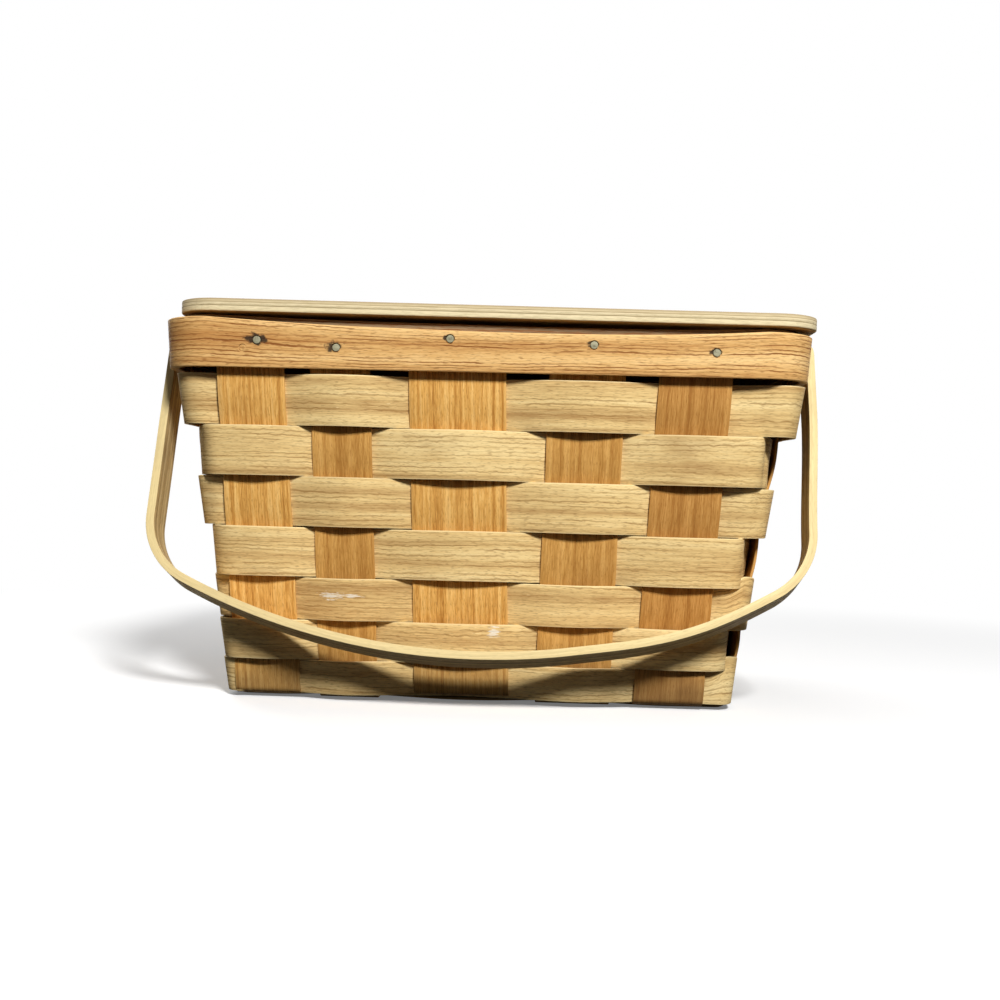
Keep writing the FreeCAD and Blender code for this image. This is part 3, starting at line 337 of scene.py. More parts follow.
# the woven wall: sizes in millimetres, at the foot and at the rim, with a straight run between
wall = {
    "foot": {"height": 3.9, "halfLength": 140.5, "halfDepth": 85.8, "corner": 7},
    "rim": {"height": 183.4, "halfLength": 171, "halfDepth": 113.5, "corner": 19.5},
    "thickness": 1.5, "edgeRound": 0.35,
    "weaverSwing": 5.0, "endSwing": 3.0, "swingPower": 1.5, "rowGap": 0.4, "rowSlope": 0.88,
    "stakeSwing": 1.0, "stakeBack": 1.0, "stakeBackFade": 4,
    "weaverDrift": 0.16, "weaverFine": 0.1, "stakeDrift": 0.12,  # how far the edges wander
    "weaverSteps": (560, 8), "stakeSteps": (420, 10),  # faces along and across
    "stakeSamples": (700, 300, 40),  # points up the wall, along the base and round the fold
    "weaverGrain": 3.7, "stakeGrain": 2.3,  # steps through the grain, so that no two strips share a figure
    "rowLevels": (3.0, 22.6, 45.4, 69.3, 97.3, 125, 152.7, 180.8),
    "crossFoot": (-119.5, -73.9, -10.0, 52.4, 106.0), "crossRim": (-128.3, -79.0, -15.0, 55.6, 114.1),
    "crossWidths": (37, 33, 53, 41.6, 39.2), "crossLift": (0, 0.6, 2.6, 0.8, 0),
    "lengthFoot": (-55.9, 0, 55.9), "lengthRim": (-58, 0, 58),
    "lengthWidths": (40, 40, 40), "lengthLift": (0.4, 0.8, 0.4),
    "leftPush": (2.2, 0.8, -1.0, -2.5, -0.5, -4.0, 2.2),  # at the corners, row by row from the foot
    "rightPush": (-2.5, -8.0, -1.5, -8.5, -3.5, -6.5, 5.0),
    "leftLift": (0, 0, 0, 0, 0, 0, 0), "rightLift": (8.0, 3.0, 6.5, 2.0, 0, 1.0, 0),
    "backLiftShare": 0.4,
    "pushSideReach": 38, "pushFrontReach": 14, "pushTopShare": 0.6,
    "topRise": 2.2, "topRiseReach": 40,  # the top weaver closes up to the rim at the ends and back
    "endDrop": 7.4, "foldReach": 7, "baseMiddle": 1.6, "baseSwing": 0.8,
}
rowCount = len(wall["rowLevels"]) - 1
rowLevels = np.array(wall["rowLevels"]) * mm
cornerTurns = (  # the corner's stretch of the walk, its end, the way to that end's middle, share of the lift
    (1, "right", 1, 1), (3, "right", -1, wall["backLiftShare"]),
    (5, "left", 1, wall["backLiftShare"]), (7, "left", -1, 1),
)


def upTheWall(low, high, z):
    foot, rim = wall["foot"]["height"] * mm, wall["rim"]["height"] * mm
    return low + (high - low) * np.clip((z - foot) / (rim - foot), 0, 1)


def wallSizes(z):
    keys = ("halfLength", "halfDepth", "corner")
    return [upTheWall(wall["foot"][key] * mm, wall["rim"][key] * mm, z) for key in keys]


def stakeMiddle(way, index, z):
    return upTheWall(wall[f"{way}Foot"][index] * mm, wall[f"{way}Rim"][index] * mm, z)


def stakeOutside(way, index, crossing):  # whether a strip lies outside at a row, or above at a base strip
    return (crossing + index) % 2 == (0 if way == "cross" else 1)


def aroundLoop(station, halfLength, halfDepth, corner):
    # a round-cornered walk in 8 stretches from the front's left end: place and outward direction
    stretch = np.floor(station).astype(int) % 8
    part = station - np.floor(station)
    side = stretch // 2
    straight = stretch % 2 == 0
    angle = (side - 1 + np.where(straight, 0, part)) * math.pi / 2
    out = np.stack([np.cos(angle), np.sin(angle)], axis=-1)
    alongWay = np.stack([-out[:, 1], out[:, 0]], axis=-1)
    frontOrBack = side % 2 == 0
    reach = np.where(frontOrBack, halfDepth, halfLength)
    inner = np.where(frontOrBack, halfLength, halfDepth) - corner
    onSide = out * reach[:, None] + alongWay * (inner * (2 * part - 1))[:, None]
    centreX = np.where(side <= 1, 1, -1) * (halfLength - corner)
    centreY = np.where((side == 1) | (side == 2), 1, -1) * (halfDepth - corner)
    onCorner = np.stack([centreX, centreY], axis=-1) + out * np.broadcast_to(corner, side.shape)[:, None]
    return np.where(straight[:, None], onSide, onCorner), out


def loopLengths(halfLength, halfDepth, corner):
    quarter = corner * math.pi / 2
    return [2 * (halfLength - corner), quarter, 2 * (halfDepth - corner), quarter] * 2


def gridPiece(name, along, across, shape, closed=False):
    # a flat grid laid along a bent strip; shape gives each point and its place in the grain, in metres
    bpy.ops.mesh.primitive_grid_add(x_subdivisions=along, y_subdivisions=across, size=1, calc_uvs=True)
    piece = bpy.context.object
    piece.name = name
    mesh = piece.data
    mesh.name = name
    flat = np.empty(len(mesh.vertices) * 3)
    mesh.vertices.foreach_get("co", flat)
    points, grain = shape(flat[0::3] + 0.5, flat[1::3])
    mesh.vertices.foreach_set("co", points.ravel())
    corners = np.empty(len(mesh.loops), int)
    mesh.loops.foreach_get("vertex_index", corners)
    mesh.uv_layers["UVMap"].data.foreach_set("uv", grain[corners].ravel())
    edges = np.column_stack([2 * np.abs(flat[1::3]), flat[0::3]])
    mesh.uv_layers.new(name="EdgeMap").data.foreach_set("uv", edges[corners].ravel())
    mesh.update()
    editAll(piece)
    if closed:
        bpy.ops.mesh.remove_doubles(threshold=0.001 * mm)
    bpy.ops.mesh.normals_make_consistent(inside=False)
    bpy.ops.object.mode_set(mode="OBJECT")
    return piece


def thicken(piece, sizes, segments=2):
    thickness = sizes["thickness"] * mm
    firstSide = len(piece.data.vertices)
    modify(piece, "SOLIDIFY", thickness=thickness, offset=0)
    mesh = piece.data
    grain, edges = mesh.uv_layers["UVMap"].data, mesh.uv_layers["EdgeMap"].data
    for face in mesh.polygons:  # the grain goes on round the long edges
        if all(edges[loop].uv.x > 0.999 for loop in face.loop_indices):
            for loop in face.loop_indices:
                if mesh.loops[loop].vertex_index >= firstSide:
                    grain[loop].uv.y += math.copysign(thickness, grain[loop].uv.y)
    easeEdges(piece, sizes["edgeRound"], segments, 60)


def wander(run, seed, strength, waves=5):  # a slow seeded drift that closes on itself
    random = np.random.default_rng(seed)
    drift = np.zeros_like(run)
    for wave in range(1, waves + 1):
        drift += random.normal() / wave * np.sin(2 * math.pi * (wave * 2 * run + random.random()))
    return strength * drift


def smoothStep(low, high, value):
    share = np.clip((value - low) / (high - low), 0, 1)
    return share * share * (3 - 2 * share)


def swing(share):
    return 1 - np.abs(share) ** wall["swingPower"]


def fade(apart, sideReach):  # 1 at a corner, 0 where its pull on the weaver ends
    share = np.where(apart > 0, apart / sideReach, -apart / wall["pushFrontReach"])
    return np.cos(np.clip(share, 0, 1) * math.pi / 2) ** 2


def weaverShape(row):
    low = rowLevels[row] + wall["rowGap"] * mm / 2
    high = rowLevels[row + 1] - wall["rowGap"] * mm / 2
    level = (low + high) / 2
    halfLength, halfDepth, corner = wallSizes(level)
    lengths = loopLengths(halfLength, halfDepth, corner)
    starts = np.concatenate([[0], np.cumsum(lengths)])
    total = starts[-1]
    crossings = []
    for side in range(4):
        way = "cross" if side % 2 == 0 else "length"
        turnedBack = side >= 2
        for index, width in enumerate(wall[f"{way}Widths"]):
            middle = stakeMiddle(way, index, level) * (-1 if turnedBack else 1)
            swings = wall["weaverSwing" if way == "cross" else "endSwing"] * mm
            bow = -swings if stakeOutside(way, index, row) else swings
            crossings.append((starts[2 * side] + lengths[2 * side] / 2 + middle, width * mm / 2, bow))
    crossings.sort()
    places, halves, bows = (np.array(column) for column in zip(*crossings))
    following = np.append(places[1:], places[0] + total)
    followingHalves = np.roll(halves, -1)
    crossOver = (places + halves + following - followingHalves) / 2
    before = np.append(crossOver[-1] - total, crossOver[:-1])
    corners = []
    for odd, side, ahead, share in cornerTurns:
        middle = (starts[odd] + starts[odd + 1]) / 2
        push, lift = wall[f"{side}Push"][row] * mm, wall[f"{side}Lift"][row] * mm * share
        apart = (places - middle) * ahead
        apart[apart < 0] = total
        first = np.argmin(apart)  # a push inwards ends before a strip that lies behind
        behind = push < 0 and bows[first] > 0
        reach = (apart[first] - halves[first]) / mm if behind else wall["pushSideReach"]
        corners.append((middle, push, reach, lift, ahead))
    hidden = [place for place, bow in zip(places, bows) if bow < 0 and starts[4] < place < starts[5]]
    seam = hidden[len(hidden) // 2]  # the ends meet behind an upright strip at the back

    def shape(run, side):
        walk = np.mod(run * total + seam, total)
        lookUp = np.where(walk > crossOver[-1], walk - total, walk)
        which = np.searchsorted(crossOver, lookUp) % len(places)
        placed = np.where((which == 0) & (lookUp > crossOver[0]), lookUp - total, lookUp)
        gap = placed - places[which]
        reach = np.where(gap > 0, crossOver[which] - places[which], places[which] - before[which])
        offset = bows[which] * swing(gap / reach)
        station = np.interp(walk, starts, np.arange(9))
        flat, out = aroundLoop(station, *wallSizes(level + (high - low) * side * wall["rowSlope"]))
        rise = np.zeros_like(walk)
        if row == rowCount - 1:
            rise += wall["topRise"] * mm * smoothStep(0, wall["topRiseReach"] * mm, flat[:, 1] + halfDepth)
        for middle, push, pushReach, lift, ahead in corners:
            apart = (np.mod(walk - middle + total / 2, total) - total / 2) * ahead / mm
            more = 1 + side * wall["pushTopShare"] * (push < 0)
            offset += push * more * fade(apart, pushReach)
            rise += lift * fade(apart, wall["pushSideReach"])
        z = low + (high - low + rise) * (side + 0.5)
        z = z + wander(run, 40 + row, wall["weaverDrift"] * mm) * (1 + side)
        z = z + wander(run, 80 + row, wall["weaverFine"] * mm, 14)
        points = np.column_stack([flat + out * offset[:, None], z])
        return points, np.column_stack([run * total + row * wall["weaverGrain"], side * (high - low)])

    return shape


def stakeHalf(way, index, back):
    # out and up along one half of an upright strip, from its end in the rim to the middle of the base
    side = "halfDepth" if way == "cross" else "halfLength"
    key = 1 if way == "cross" else 0
    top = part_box("outer_rim")[1].z - wall["endDrop"] * mm
    fold = wall["foldReach"] * mm
    wallSamples, baseSamples, foldSamples = wall["stakeSamples"]
    heights = np.linspace(top, fold, wallSamples)
    rimFoot = wall["rim"]["height"] * mm
    rimFade = smoothStep(rimFoot + wall["stakeBackFade"] * mm, rimFoot, heights)
    setBack = smoothStep(rowLevels[0], rowLevels[1], heights) * rimFade
    outs = wallSizes(heights)[key] - wall["stakeBack"] * mm * setBack
    for row in range(rowCount):
        share = (heights - rowLevels[row]) / (rowLevels[row + 1] - rowLevels[row])
        inside = (share >= 0) & (share <= 1)
        sign = 1 if stakeOutside(way, index, row) else -1
        outs += np.where(inside, sign * wall["stakeSwing"] * mm * np.sin(math.pi * np.clip(share, 0, 1)), 0)
    foot = wall["foot"][side] * mm
    other = "length" if way == "cross" else "cross"
    baseOuts = np.linspace(foot - fold, 0, baseSamples)
    signed = baseOuts if back else -baseOuts
    crossings = range(len(wall[f"{other}Widths"]))
    middles = np.array([stakeMiddle(other, crossing, 0) for crossing in crossings])
    over = np.array([1 if stakeOutside(way, index, crossing) else -1 for crossing in crossings])
    levels = np.interp(signed, middles, over)
    lift = wall[f"{way}Lift"][index] * smoothStep(0.5 * foot, foot, baseOuts)
    levels = (wall["baseMiddle"] + wall["baseSwing"] * np.sin(levels * math.pi / 2) + lift) * mm
    turn = np.linspace(0, 1, foldSamples)[1:-1]
    corner = (outs[-1], levels[0])
    foldOuts = (1 - turn) ** 2 * outs[-1] + 2 * turn * (1 - turn) * corner[0] + turn ** 2 * baseOuts[0]
    foldLevels = (1 - turn) ** 2 * heights[-1] + 2 * turn * (1 - turn) * corner[1] + turn ** 2 * levels[0]
    return np.concatenate([outs, foldOuts, baseOuts]), np.concatenate([heights, foldLevels, levels])


def stakeShape(way, index):
    frontOuts, frontLevels = stakeHalf(way, index, False)
    backOuts, backLevels = stakeHalf(way, index, True)
    outs = np.concatenate([-frontOuts, backOuts[::-1][1:]])
    levels = np.concatenate([frontLevels, backLevels[::-1][1:]])
    steps = np.hypot(np.diff(outs), np.diff(levels))
    walked = np.concatenate([[0], np.cumsum(steps)])
    width = wall[f"{way}Widths"][index] * mm

    def shape(run, side):
        walk = run * walked[-1]
        out = np.interp(walk, walked, outs)
        z = np.interp(walk, walked, levels)
        edge = wander(run, 11 + 7 * index + len(way), wall["stakeDrift"] * mm, 9)
        beside = stakeMiddle(way, index, z) + side * width + edge * np.sign(side)
        points = np.column_stack([beside, out, z] if way == "cross" else [out, beside, z])
        return points, np.column_stack([walk + index * wall["stakeGrain"] + len(way), side * width])

    return shape


paint = {  # white flecks on the weavers: x, y and z, then width and height
    "flecks": ((-82, -98.6, 59.3, 7, 1.9), (-71, -98.6, 59.6, 5, 1.2), (7.5, -97, 41.7, 3.4, 3)), "depth": 8,
}
paintFlecks = []
for x, y, z, wide, high in paint["flecks"]:
    paintFlecks.append((Vector((x, y, z)) * mm, Vector((wide, paint["depth"], high)) * mm))
weaverFinish = woodFinish("weaverSplint", weaverLook, paintFlecks)
for row in range(rowCount):
    number = rowCount - row
    strip = gridPiece(f"weaverStrip{number}", *wall["weaverSteps"], weaverShape(row), closed=True)
    thicken(strip, wall)
    settle(strip, "basket", "weaver_splint", weaverFinish, f"weaver_{number}")
print("weavers laid:", rowCount)

stakeFinish = woodFinish("honeySplint", stakeLook)
tanStakeFinish = woodFinish("tanSplint", tanStakeLook)
brownStakeFinish = woodFinish("brownSplint", brownStakeLook)
for way, finishes in (
    ("cross", (stakeFinish, tanStakeFinish, stakeFinish, tanStakeFinish, brownStakeFinish)),
    ("length", (tanStakeFinish, stakeFinish, brownStakeFinish)),
):
    for index, finish in enumerate(finishes):
        strip = gridPiece(f"{way}Strip{index + 1}", *wall["stakeSteps"], stakeShape(way, index))
        thicken(strip, wall)
        settle(strip, "basket", "stake_splint", finish, f"{way}_stake_{index + 1}")
print("upright strips laid:", len(wall["crossWidths"]) + len(wall["lengthWidths"]))

# rims: bent bands with lapped ends at the back, nailed through the outer one
rims = {
    "outer": {
        "node": "outer_rim", "thickness": 5, "corner": 25.5, "frontSag": 5, "rightSag": 2.0, "lean": 2.0,
        "edgeRound": 0.7, "lapOut": 1.6, "steps": (620, 6),
    },
    "inner": {
        "node": "inner_rim", "thickness": 4, "corner": 18.5, "frontSag": 2.8, "rightSag": 1.8, "lean": 0,
        "edgeRound": 0.7, "lapOut": -1.3, "steps": (560, 6),
    },
    "sagStart": -60, "sagEnd": 140, "lapX": -27, "lapLength": 62, "lapSlant": 7,
    "sagPower": 8, "drift": 0.12, "grainStep": 7.1,
    "nailsX": (-123.4, -80.3, -18.8, 58.5, 123.9),
    "backNailsX": (-128.2, -79.0, -15.0, 55.6, 114.0),
    "nailsShare": (0.54, 0.42, 0.64, 0.58, 0.48),
    "nailHead": 2.1, "nailDepth": 1.6, "nailMiddle": -0.6, "nailRound": 0.35,
    "nailSink": 2.6, "sinkDepth": 0.7,
    "stains": (0.85, 0.75, 0.5, 0.5, 0.5), "otherStain": 0.6,
    "stainReach": (7.5, 6, 4.6), "stainShift": (-0.9, 0, 0.5),
    "tornShift": (2.6, 0, 0.3), "tornSize": 0.55,  # a torn place beside the first nail, and a hammer mark
    "markPlace": (-131.2, -120.35, 193.5), "markSize": 1.9, "markWidth": 0.4, "markTurn": -9,
}


def rimShape(rim):
    low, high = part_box(rim["node"])
    half = rim["thickness"] * mm / 2
    halfLength, halfDepth, corner = high.x - half, high.y - half, rim["corner"] * mm - half
    lengths = loopLengths(halfLength, halfDepth, corner)
    starts = np.concatenate([[0], np.cumsum(lengths)])
    total = starts[-1]
    seam = (starts[4] + starts[5]) / 2 - rims["lapX"] * mm

    def shape(run, side):
        walk = np.mod(run * total + seam + side * rims["lapSlant"] * mm, total)
        lap = rim["lapOut"] * mm * smoothStep(total - rims["lapLength"] * mm, total, run * total)
        flat, out = aroundLoop(np.interp(walk, starts, np.arange(9)), halfLength, halfDepth, corner)
        front = np.clip(-flat[:, 1] / halfDepth, 0, 1) ** rims["sagPower"]
        sag = rim["frontSag"] * mm * front * np.clip(1 - (flat[:, 0] / (halfLength - corner)) ** 2, 0, 1)
        sag += rim["rightSag"] * mm * smoothStep(rims["sagStart"] * mm, rims["sagEnd"] * mm, flat[:, 0])
        up = side + 0.5
        z = low.z + (high.z - low.z - sag) * up
        z = z + wander(run, 5 + len(rim["node"]), rims["drift"] * mm, 9) * up
        forward = np.clip(1 - flat[:, 1] / halfDepth, 0, 1)
        flat = flat + out * (rim["lean"] * mm * forward * up + lap)[:, None]
        along = run * total + rims["grainStep"] * half / mm
        return np.column_stack([flat, z]), np.column_stack([along, side * (high.z - low.z)])

    return shape


def bendRim(name, rim):
    band = gridPiece(name, *rim["steps"], rimShape(rim), closed=True)
    thicken(band, rim, 3)
    return band


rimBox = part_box("outer_rim")
rimHeight = rimBox[1].z - rimBox[0].z
nailSpots = []
stainSpots = []
nailRows = (rims[key] for key in ("nailsX", "backNailsX", "nailsShare", "stains"))
for xFront, xBack, share, stain in zip(*nailRows):
    height = rimBox[0].z + share * rimHeight
    lean = rims["outer"]["lean"] * share
    nailSpots.append((Vector((xFront * mm, rimBox[0].y - lean * mm, height)), Vector((0, -1, 0))))
    lapped = 0 <= xBack - rims["lapX"] < rims["lapLength"]
    lap = rims["outer"]["lapOut"] * smoothStep(rims["lapX"] + rims["lapLength"], rims["lapX"], xBack) * lapped
    nailSpots.append((Vector((xBack * mm, rimBox[1].y + lap * mm, height)), Vector((0, 1, 0))))
    stainSpots.append((nailSpots[-2][0] + Vector(rims["stainShift"]) * mm, stain))
    stainSpots.append((nailSpots[-1][0], rims["otherStain"]))
for end in (0, 1):
    x = rimBox[end].x + (2 * end - 1) * rims["outer"]["lean"] * mm / 2
    nailSpots.append((Vector((x, 0, rimBox[0].z + rimHeight / 2)), Vector((2 * end - 1, 0, 0))))
    stainSpots.append((nailSpots[-1][0], rims["otherStain"]))
stainSpots.append((nailSpots[0][0] + Vector(rims["tornShift"]) * mm, rims["tornSize"]))


def added(name):  # the piece that was just added, with its place and size applied
    piece = bpy.context.object
    piece.name = name
    bpy.ops.object.transform_apply()
    return piece


def roundBar(name, radius, topRadius, depth, middle, rounding=0):  # upright, round, with eased edges
    bpy.ops.mesh.primitive_cone_add(
        vertices=32, radius1=radius * mm, radius2=topRadius * mm, depth=depth * mm,
        location=(0, 0, middle * mm),
    )
    piece = added(name)
    if rounding:
        easeEdges(piece, rounding, 3, 40)
    return piece


def plainBox(name, low, high):
    bpy.ops.mesh.primitive_cube_add(size=1, location=(low + high) / 2, scale=high - low)
    return added(name)


def bevelEdges(piece, wanted, radius, segments):  # round the edges that wanted picks by their two ends
    only(piece)
    bpy.ops.object.mode_set(mode="EDIT")
    bpy.ops.mesh.select_mode(type="EDGE")
    bpy.ops.mesh.select_all(action="DESELECT")
    bpy.ops.object.mode_set(mode="OBJECT")
    for edge in piece.data.edges:
        edge.select = wanted(*(piece.data.vertices[index].co for index in edge.vertices))
    bpy.ops.object.mode_set(mode="EDIT")
    bpy.ops.mesh.bevel(offset=radius * mm, segments=segments, affect="EDGES")
    bpy.ops.object.mode_set(mode="OBJECT")


spinStep = 2.1  # each copy is turned on by this, so that they don't look alike


def copies(model, places):  # a piece modelled once and copied to each place, its top turned the given way
    made = []
    for spot, way in places:
        only(model)
        bpy.ops.object.duplicate(linked=False)
        copy = bpy.context.object
        copy.location = spot
        spun = Quaternion((0, 0, 1), spinStep * len(made))
        copy.rotation_euler = (Vector((0, 0, 1)).rotation_difference(way) @ spun).to_euler()
        made.append(copy)
    bpy.data.objects.remove(model)
    return made


def joinPieces(name, pieces):
    bpy.ops.object.select_all(action="DESELECT")
    for piece in pieces:
        piece.select_set(True)
    bpy.context.view_layer.objects.active = pieces[0]
    bpy.ops.object.join()
    piece = bpy.context.object
    piece.name = name
    piece.data.name = name
    only(piece)
    bpy.ops.object.transform_apply()
    return piece


outerRim = bendRim("outerRimBand", rims["outer"])
sinks = copies(roundBar("sink", rims["nailSink"], rims["nailSink"], 2 * rims["sinkDepth"], 0), nailSpots)
bpy.ops.mesh.primitive_torus_add(
    major_segments=36, minor_segments=10, major_radius=rims["markSize"] * mm,
    minor_radius=rims["markWidth"] * mm, location=Vector(rims["markPlace"]) * mm,
    rotation=(math.radians(90), 0, math.radians(rims["markTurn"])),
)
sinks.append(bpy.context.object)
sinkTool = joinPieces("sinkTool", sinks)
modify(outerRim, "BOOLEAN", operation="DIFFERENCE", object=sinkTool, solver="EXACT")
bpy.data.objects.remove(sinkTool)
stainReach = Vector(rims["stainReach"]) * mm
outerFinish = woodFinish("rimBentwood", rimLook, [(spot, stainReach * size) for spot, size in stainSpots])
settle(outerRim, "basket", "rim_wood", outerFinish, "outer_rim")

innerRim = bendRim("innerRimBand", rims["inner"])
# painted shade: the inner rim's tones are darker and greyer than the outer rim's, as in the lid's shadow
settle(innerRim, "basket", "rim_wood", woodFinish("innerRimShadedWood", {
    **rimLook, "pale": tone(170, 142, 106), "middle": tone(146, 118, 86), "dark": tone(110, 88, 62),
    **plainWood,
}), "inner_rim")
print("rims bent: 2")

# metals: brighter and duller patches with spots of rust
metalWear = {
    "worn": (140, 900, 900), "wornSpan": (0.3, 0.7), "spots": ((420, 420, 420), 0.54, 0.68, 4.0, 0.65),
    "rustDulls": 0.7, "rustRoughens": 0.25, "rustRelief": 0.6, "reliefDepth": 0.06,
}


def metalFinish(name, bright, dull, rust, rustShare, roughness, metal=0.85):
    finish = Finish(name)
    place = finish.place()
    worn = finish.noise(place, metalWear["worn"], 4.0, 0.6)
    spots = finish.patches(place, *metalWear["spots"])
    plain = finish.mix(finish.span(worn, *metalWear["wornSpan"]), dull, bright)
    colour = finish.mix(spots * rustShare, plain, rust)
    return finish.close(
        Base_Color=colour, Metallic=metal - spots * (rustShare * metalWear["rustDulls"] * metal),
        Roughness=roughness + spots * metalWear["rustRoughens"],
        Normal=finish.bump(worn + spots * metalWear["rustRelief"], metalWear["reliefDepth"] * mm),
    )


nailSizes = [rims[key] for key in ("nailHead", "nailHead", "nailDepth", "nailMiddle", "nailRound")]
nailSet = joinPieces("rimNails", copies(roundBar("nail", *nailSizes), nailSpots))
nailFinish = metalFinish("nailIron", tone(158, 153, 122), tone(128, 124, 98), tone(88, 78, 60), 0.5, 0.6, 0.1)
settle(nailSet, "basket", "nail_iron", nailFinish, "rim_nails")
print("nails driven:", len(nailSpots))

# lid: a plywood board, round at the corners and eased along its edges
lid = {
    "cornerRadius": 24, "edgeRound": 0.8, "leftRise": 0.8, "rightDrop": 1.6, "frontMore": 1.0, "warpEnd": 60,
    "faceTones": [(0.36, tone(178, 142, 92)), (0.5, tone(204, 170, 116)), (0.64, tone(218, 188, 136))],
    "lineTone": tone(150, 112, 66), "poreTone": tone(140, 104, 62), "underShadeTone": tone(96, 70, 44),
    "plyTones": [
        (0.0, tone(228, 211, 169)), (0.38, tone(238, 222, 180)), (0.44, tone(162, 139, 101)),
        (0.50, tone(219, 202, 160)), (0.66, tone(230, 213, 173)), (0.73, tone(160, 137, 101)),
        (0.79, tone(216, 199, 158)), (0.95, tone(166, 146, 112)),
    ],
    "speckTone": tone(178, 158, 116),
    "figure": (1.5, 8, 1), "figureLines": 17, "jag": (130, 330, 1), "jagShare": 0.35,
    "breaks": ((45, 420, 1), 0.32, 0.58), "pores": ((150, 2000, 1), 0.55, 0.7, 1.0),
    "cloud": (7, 22, 1), "cloudShare": 0.6, "band": (4, 150, 1), "bandShare": 0.4,
    "streak": (70, 70, 2600), "streakShare": 0.08, "speckle": (170, 170, 3800),
    "lineShare": 0.5, "poreShare": 0.4, "underShadeShare": 0.25, "speckShare": 0.5, "sideShift": (3.1, 1.7, 0),
}
lidLow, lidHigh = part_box("lid_board")


def lidFinish():
    finish = Finish("lidPlywood")
    place = finish.place()
    share = finish.parts(finish.grain())[1]
    side = finish.span(share, 0.4, 0.6)  # the two faces have their own figure
    shift = {0: side, 1: lid["sideShift"], 2: place}
    sheet = finish.node("ShaderNodeVectorMath", {"operation": "MULTIPLY_ADD"}, shift)
    contour = finish.noise(sheet, lid["figure"], 2.0, 0.4)
    jag = finish.noise(sheet, lid["jag"])
    figure = (contour * lid["figureLines"] + (jag - 0.5) * lid["jagShare"]) * (2 * math.pi)
    broken = finish.patches(sheet, *lid["breaks"])
    line = finish.span(figure.sine(), 0.1, 0.98) * broken
    pores = finish.patches(sheet, *lid["pores"])
    cloud = finish.noise(sheet, lid["cloud"], 3.0, 0.6)
    clouded = cloud * lid["cloudShare"]
    face = finish.ramp(clouded + finish.noise(sheet, lid["band"]) * lid["bandShare"], lid["faceTones"])
    lined = finish.mix(line * lid["lineShare"], face, lid["lineTone"])
    top = finish.mix(pores * lid["poreShare"], lined, lid["poreTone"])
    # painted shade: the board darkens towards its underside, as in the lid's own shadow
    under = finish.mix(finish.span(share, 0.2, 0.0) * lid["underShadeShare"], top, lid["underShadeTone"])
    streak = finish.noise(place, lid["streak"])
    speckle = finish.noise(place, lid["speckle"], 3.0, 0.6)
    plies = finish.ramp(share + (streak - 0.5) * lid["streakShare"], lid["plyTones"])
    edge = finish.mix(finish.span(speckle, 0.46, 0.66) * lid["speckShare"], plies, lid["speckTone"])
    colour = finish.mix(finish.span((share - 0.5).size(), 0.47, 0.498), edge, under)
    relief = line * -0.4 + pores * -0.5 + speckle * 0.4
    return finish.close(
        Base_Color=colour, Roughness=0.58 + cloud * 0.15, Normal=finish.bump(relief, 0.1 * mm),
        Specular_IOR_Level=wood["shine"],
    )


def throughBoard(one, two):
    return abs(one.z - two.z) > (lidHigh.z - lidLow.z) / 2


lidBoard = plainBox("lidBoard", lidLow, lidHigh)
lidBoard.data.name = "lidBoard"
bevelEdges(lidBoard, throughBoard, lid["cornerRadius"], 14)
easeEdges(lidBoard, lid["edgeRound"], 3, 60)
lidGrain = lidBoard.data.uv_layers.active.data
for loop in lidBoard.data.loops:  # the height through the plies goes with the board
    corner = lidBoard.data.vertices[loop.vertex_index].co
    lidGrain[loop.index].uv = (corner.x + corner.y, (corner.z - lidLow.z) / (lidHigh.z - lidLow.z))
for vertex in lidBoard.data.vertices:  # a slight warp that fades towards the hinges
    forward = min(max((lid["warpEnd"] * mm - vertex.co.y) / (lid["warpEnd"] * mm - lidLow.y), 0), 1)
    right = (vertex.co.x - lidLow.x) / (lidHigh.x - lidLow.x)
    vertex.co.z += (lid["leftRise"] - (lid["leftRise"] + lid["rightDrop"]) * right) * mm * forward
    vertex.co.y -= lid["frontMore"] * mm * forward
settle(lidBoard, "lid", "lid_plywood", lidFinish(), "lid_board")
print("lid cut")

# swing handles: one bent band each, hanging from pivots at the rim's ends
handle = {
    "outerHalf": 186.5, "thickness": 4.5, "width": 22, "length": 180.8, "endReach": 11.5,
    "rightSag": 2.6, "sagFrom": 50, "sagTo": 184,  # the bow hangs a little lower on the right
    "rightLean": 3.4, "leanFrom": 30, "leanTo": 110,  # and its right leg leans in, well below the lid's edge
    "shoulder": 42, "bow": 365, "endRound": 10, "tilt": 19.59, "pivotOut": 58, "pivotUp": 196.9,
    "edgeRound": 0.8, "drift": 0.15, "grainStep": 4.3, "steps": (420, 8),
}


def handleLine():
    # half of the band's line, from the leg's end to the middle of the grip, then mirrored
    inset = handle["thickness"] / 2
    shoulderX = handle["outerHalf"] - handle["shoulder"]
    bowZ = handle["bow"] - handle["length"]
    shoulderZ = bowZ - math.sqrt((handle["bow"] - handle["shoulder"]) ** 2 - shoulderX ** 2)
    turnEnd = math.atan2(shoulderZ - bowZ, shoulderX)
    legZ = np.linspace(handle["endReach"], shoulderZ, 120)
    leg = np.column_stack([np.full_like(legZ, handle["outerHalf"] - inset), legZ])
    angles = np.linspace(0, turnEnd, 80)[1:]
    radius = handle["shoulder"] - inset
    shoulder = np.column_stack([shoulderX + radius * np.cos(angles), shoulderZ + radius * np.sin(angles)])
    angles = np.linspace(turnEnd, -math.pi / 2, 160)[1:]
    radius = handle["bow"] - inset
    bow = np.column_stack([radius * np.cos(angles), bowZ + radius * np.sin(angles)])
    half = np.concatenate([leg, shoulder, bow]) * mm
    return np.concatenate([half * (-1, 1), half[::-1][1:]])


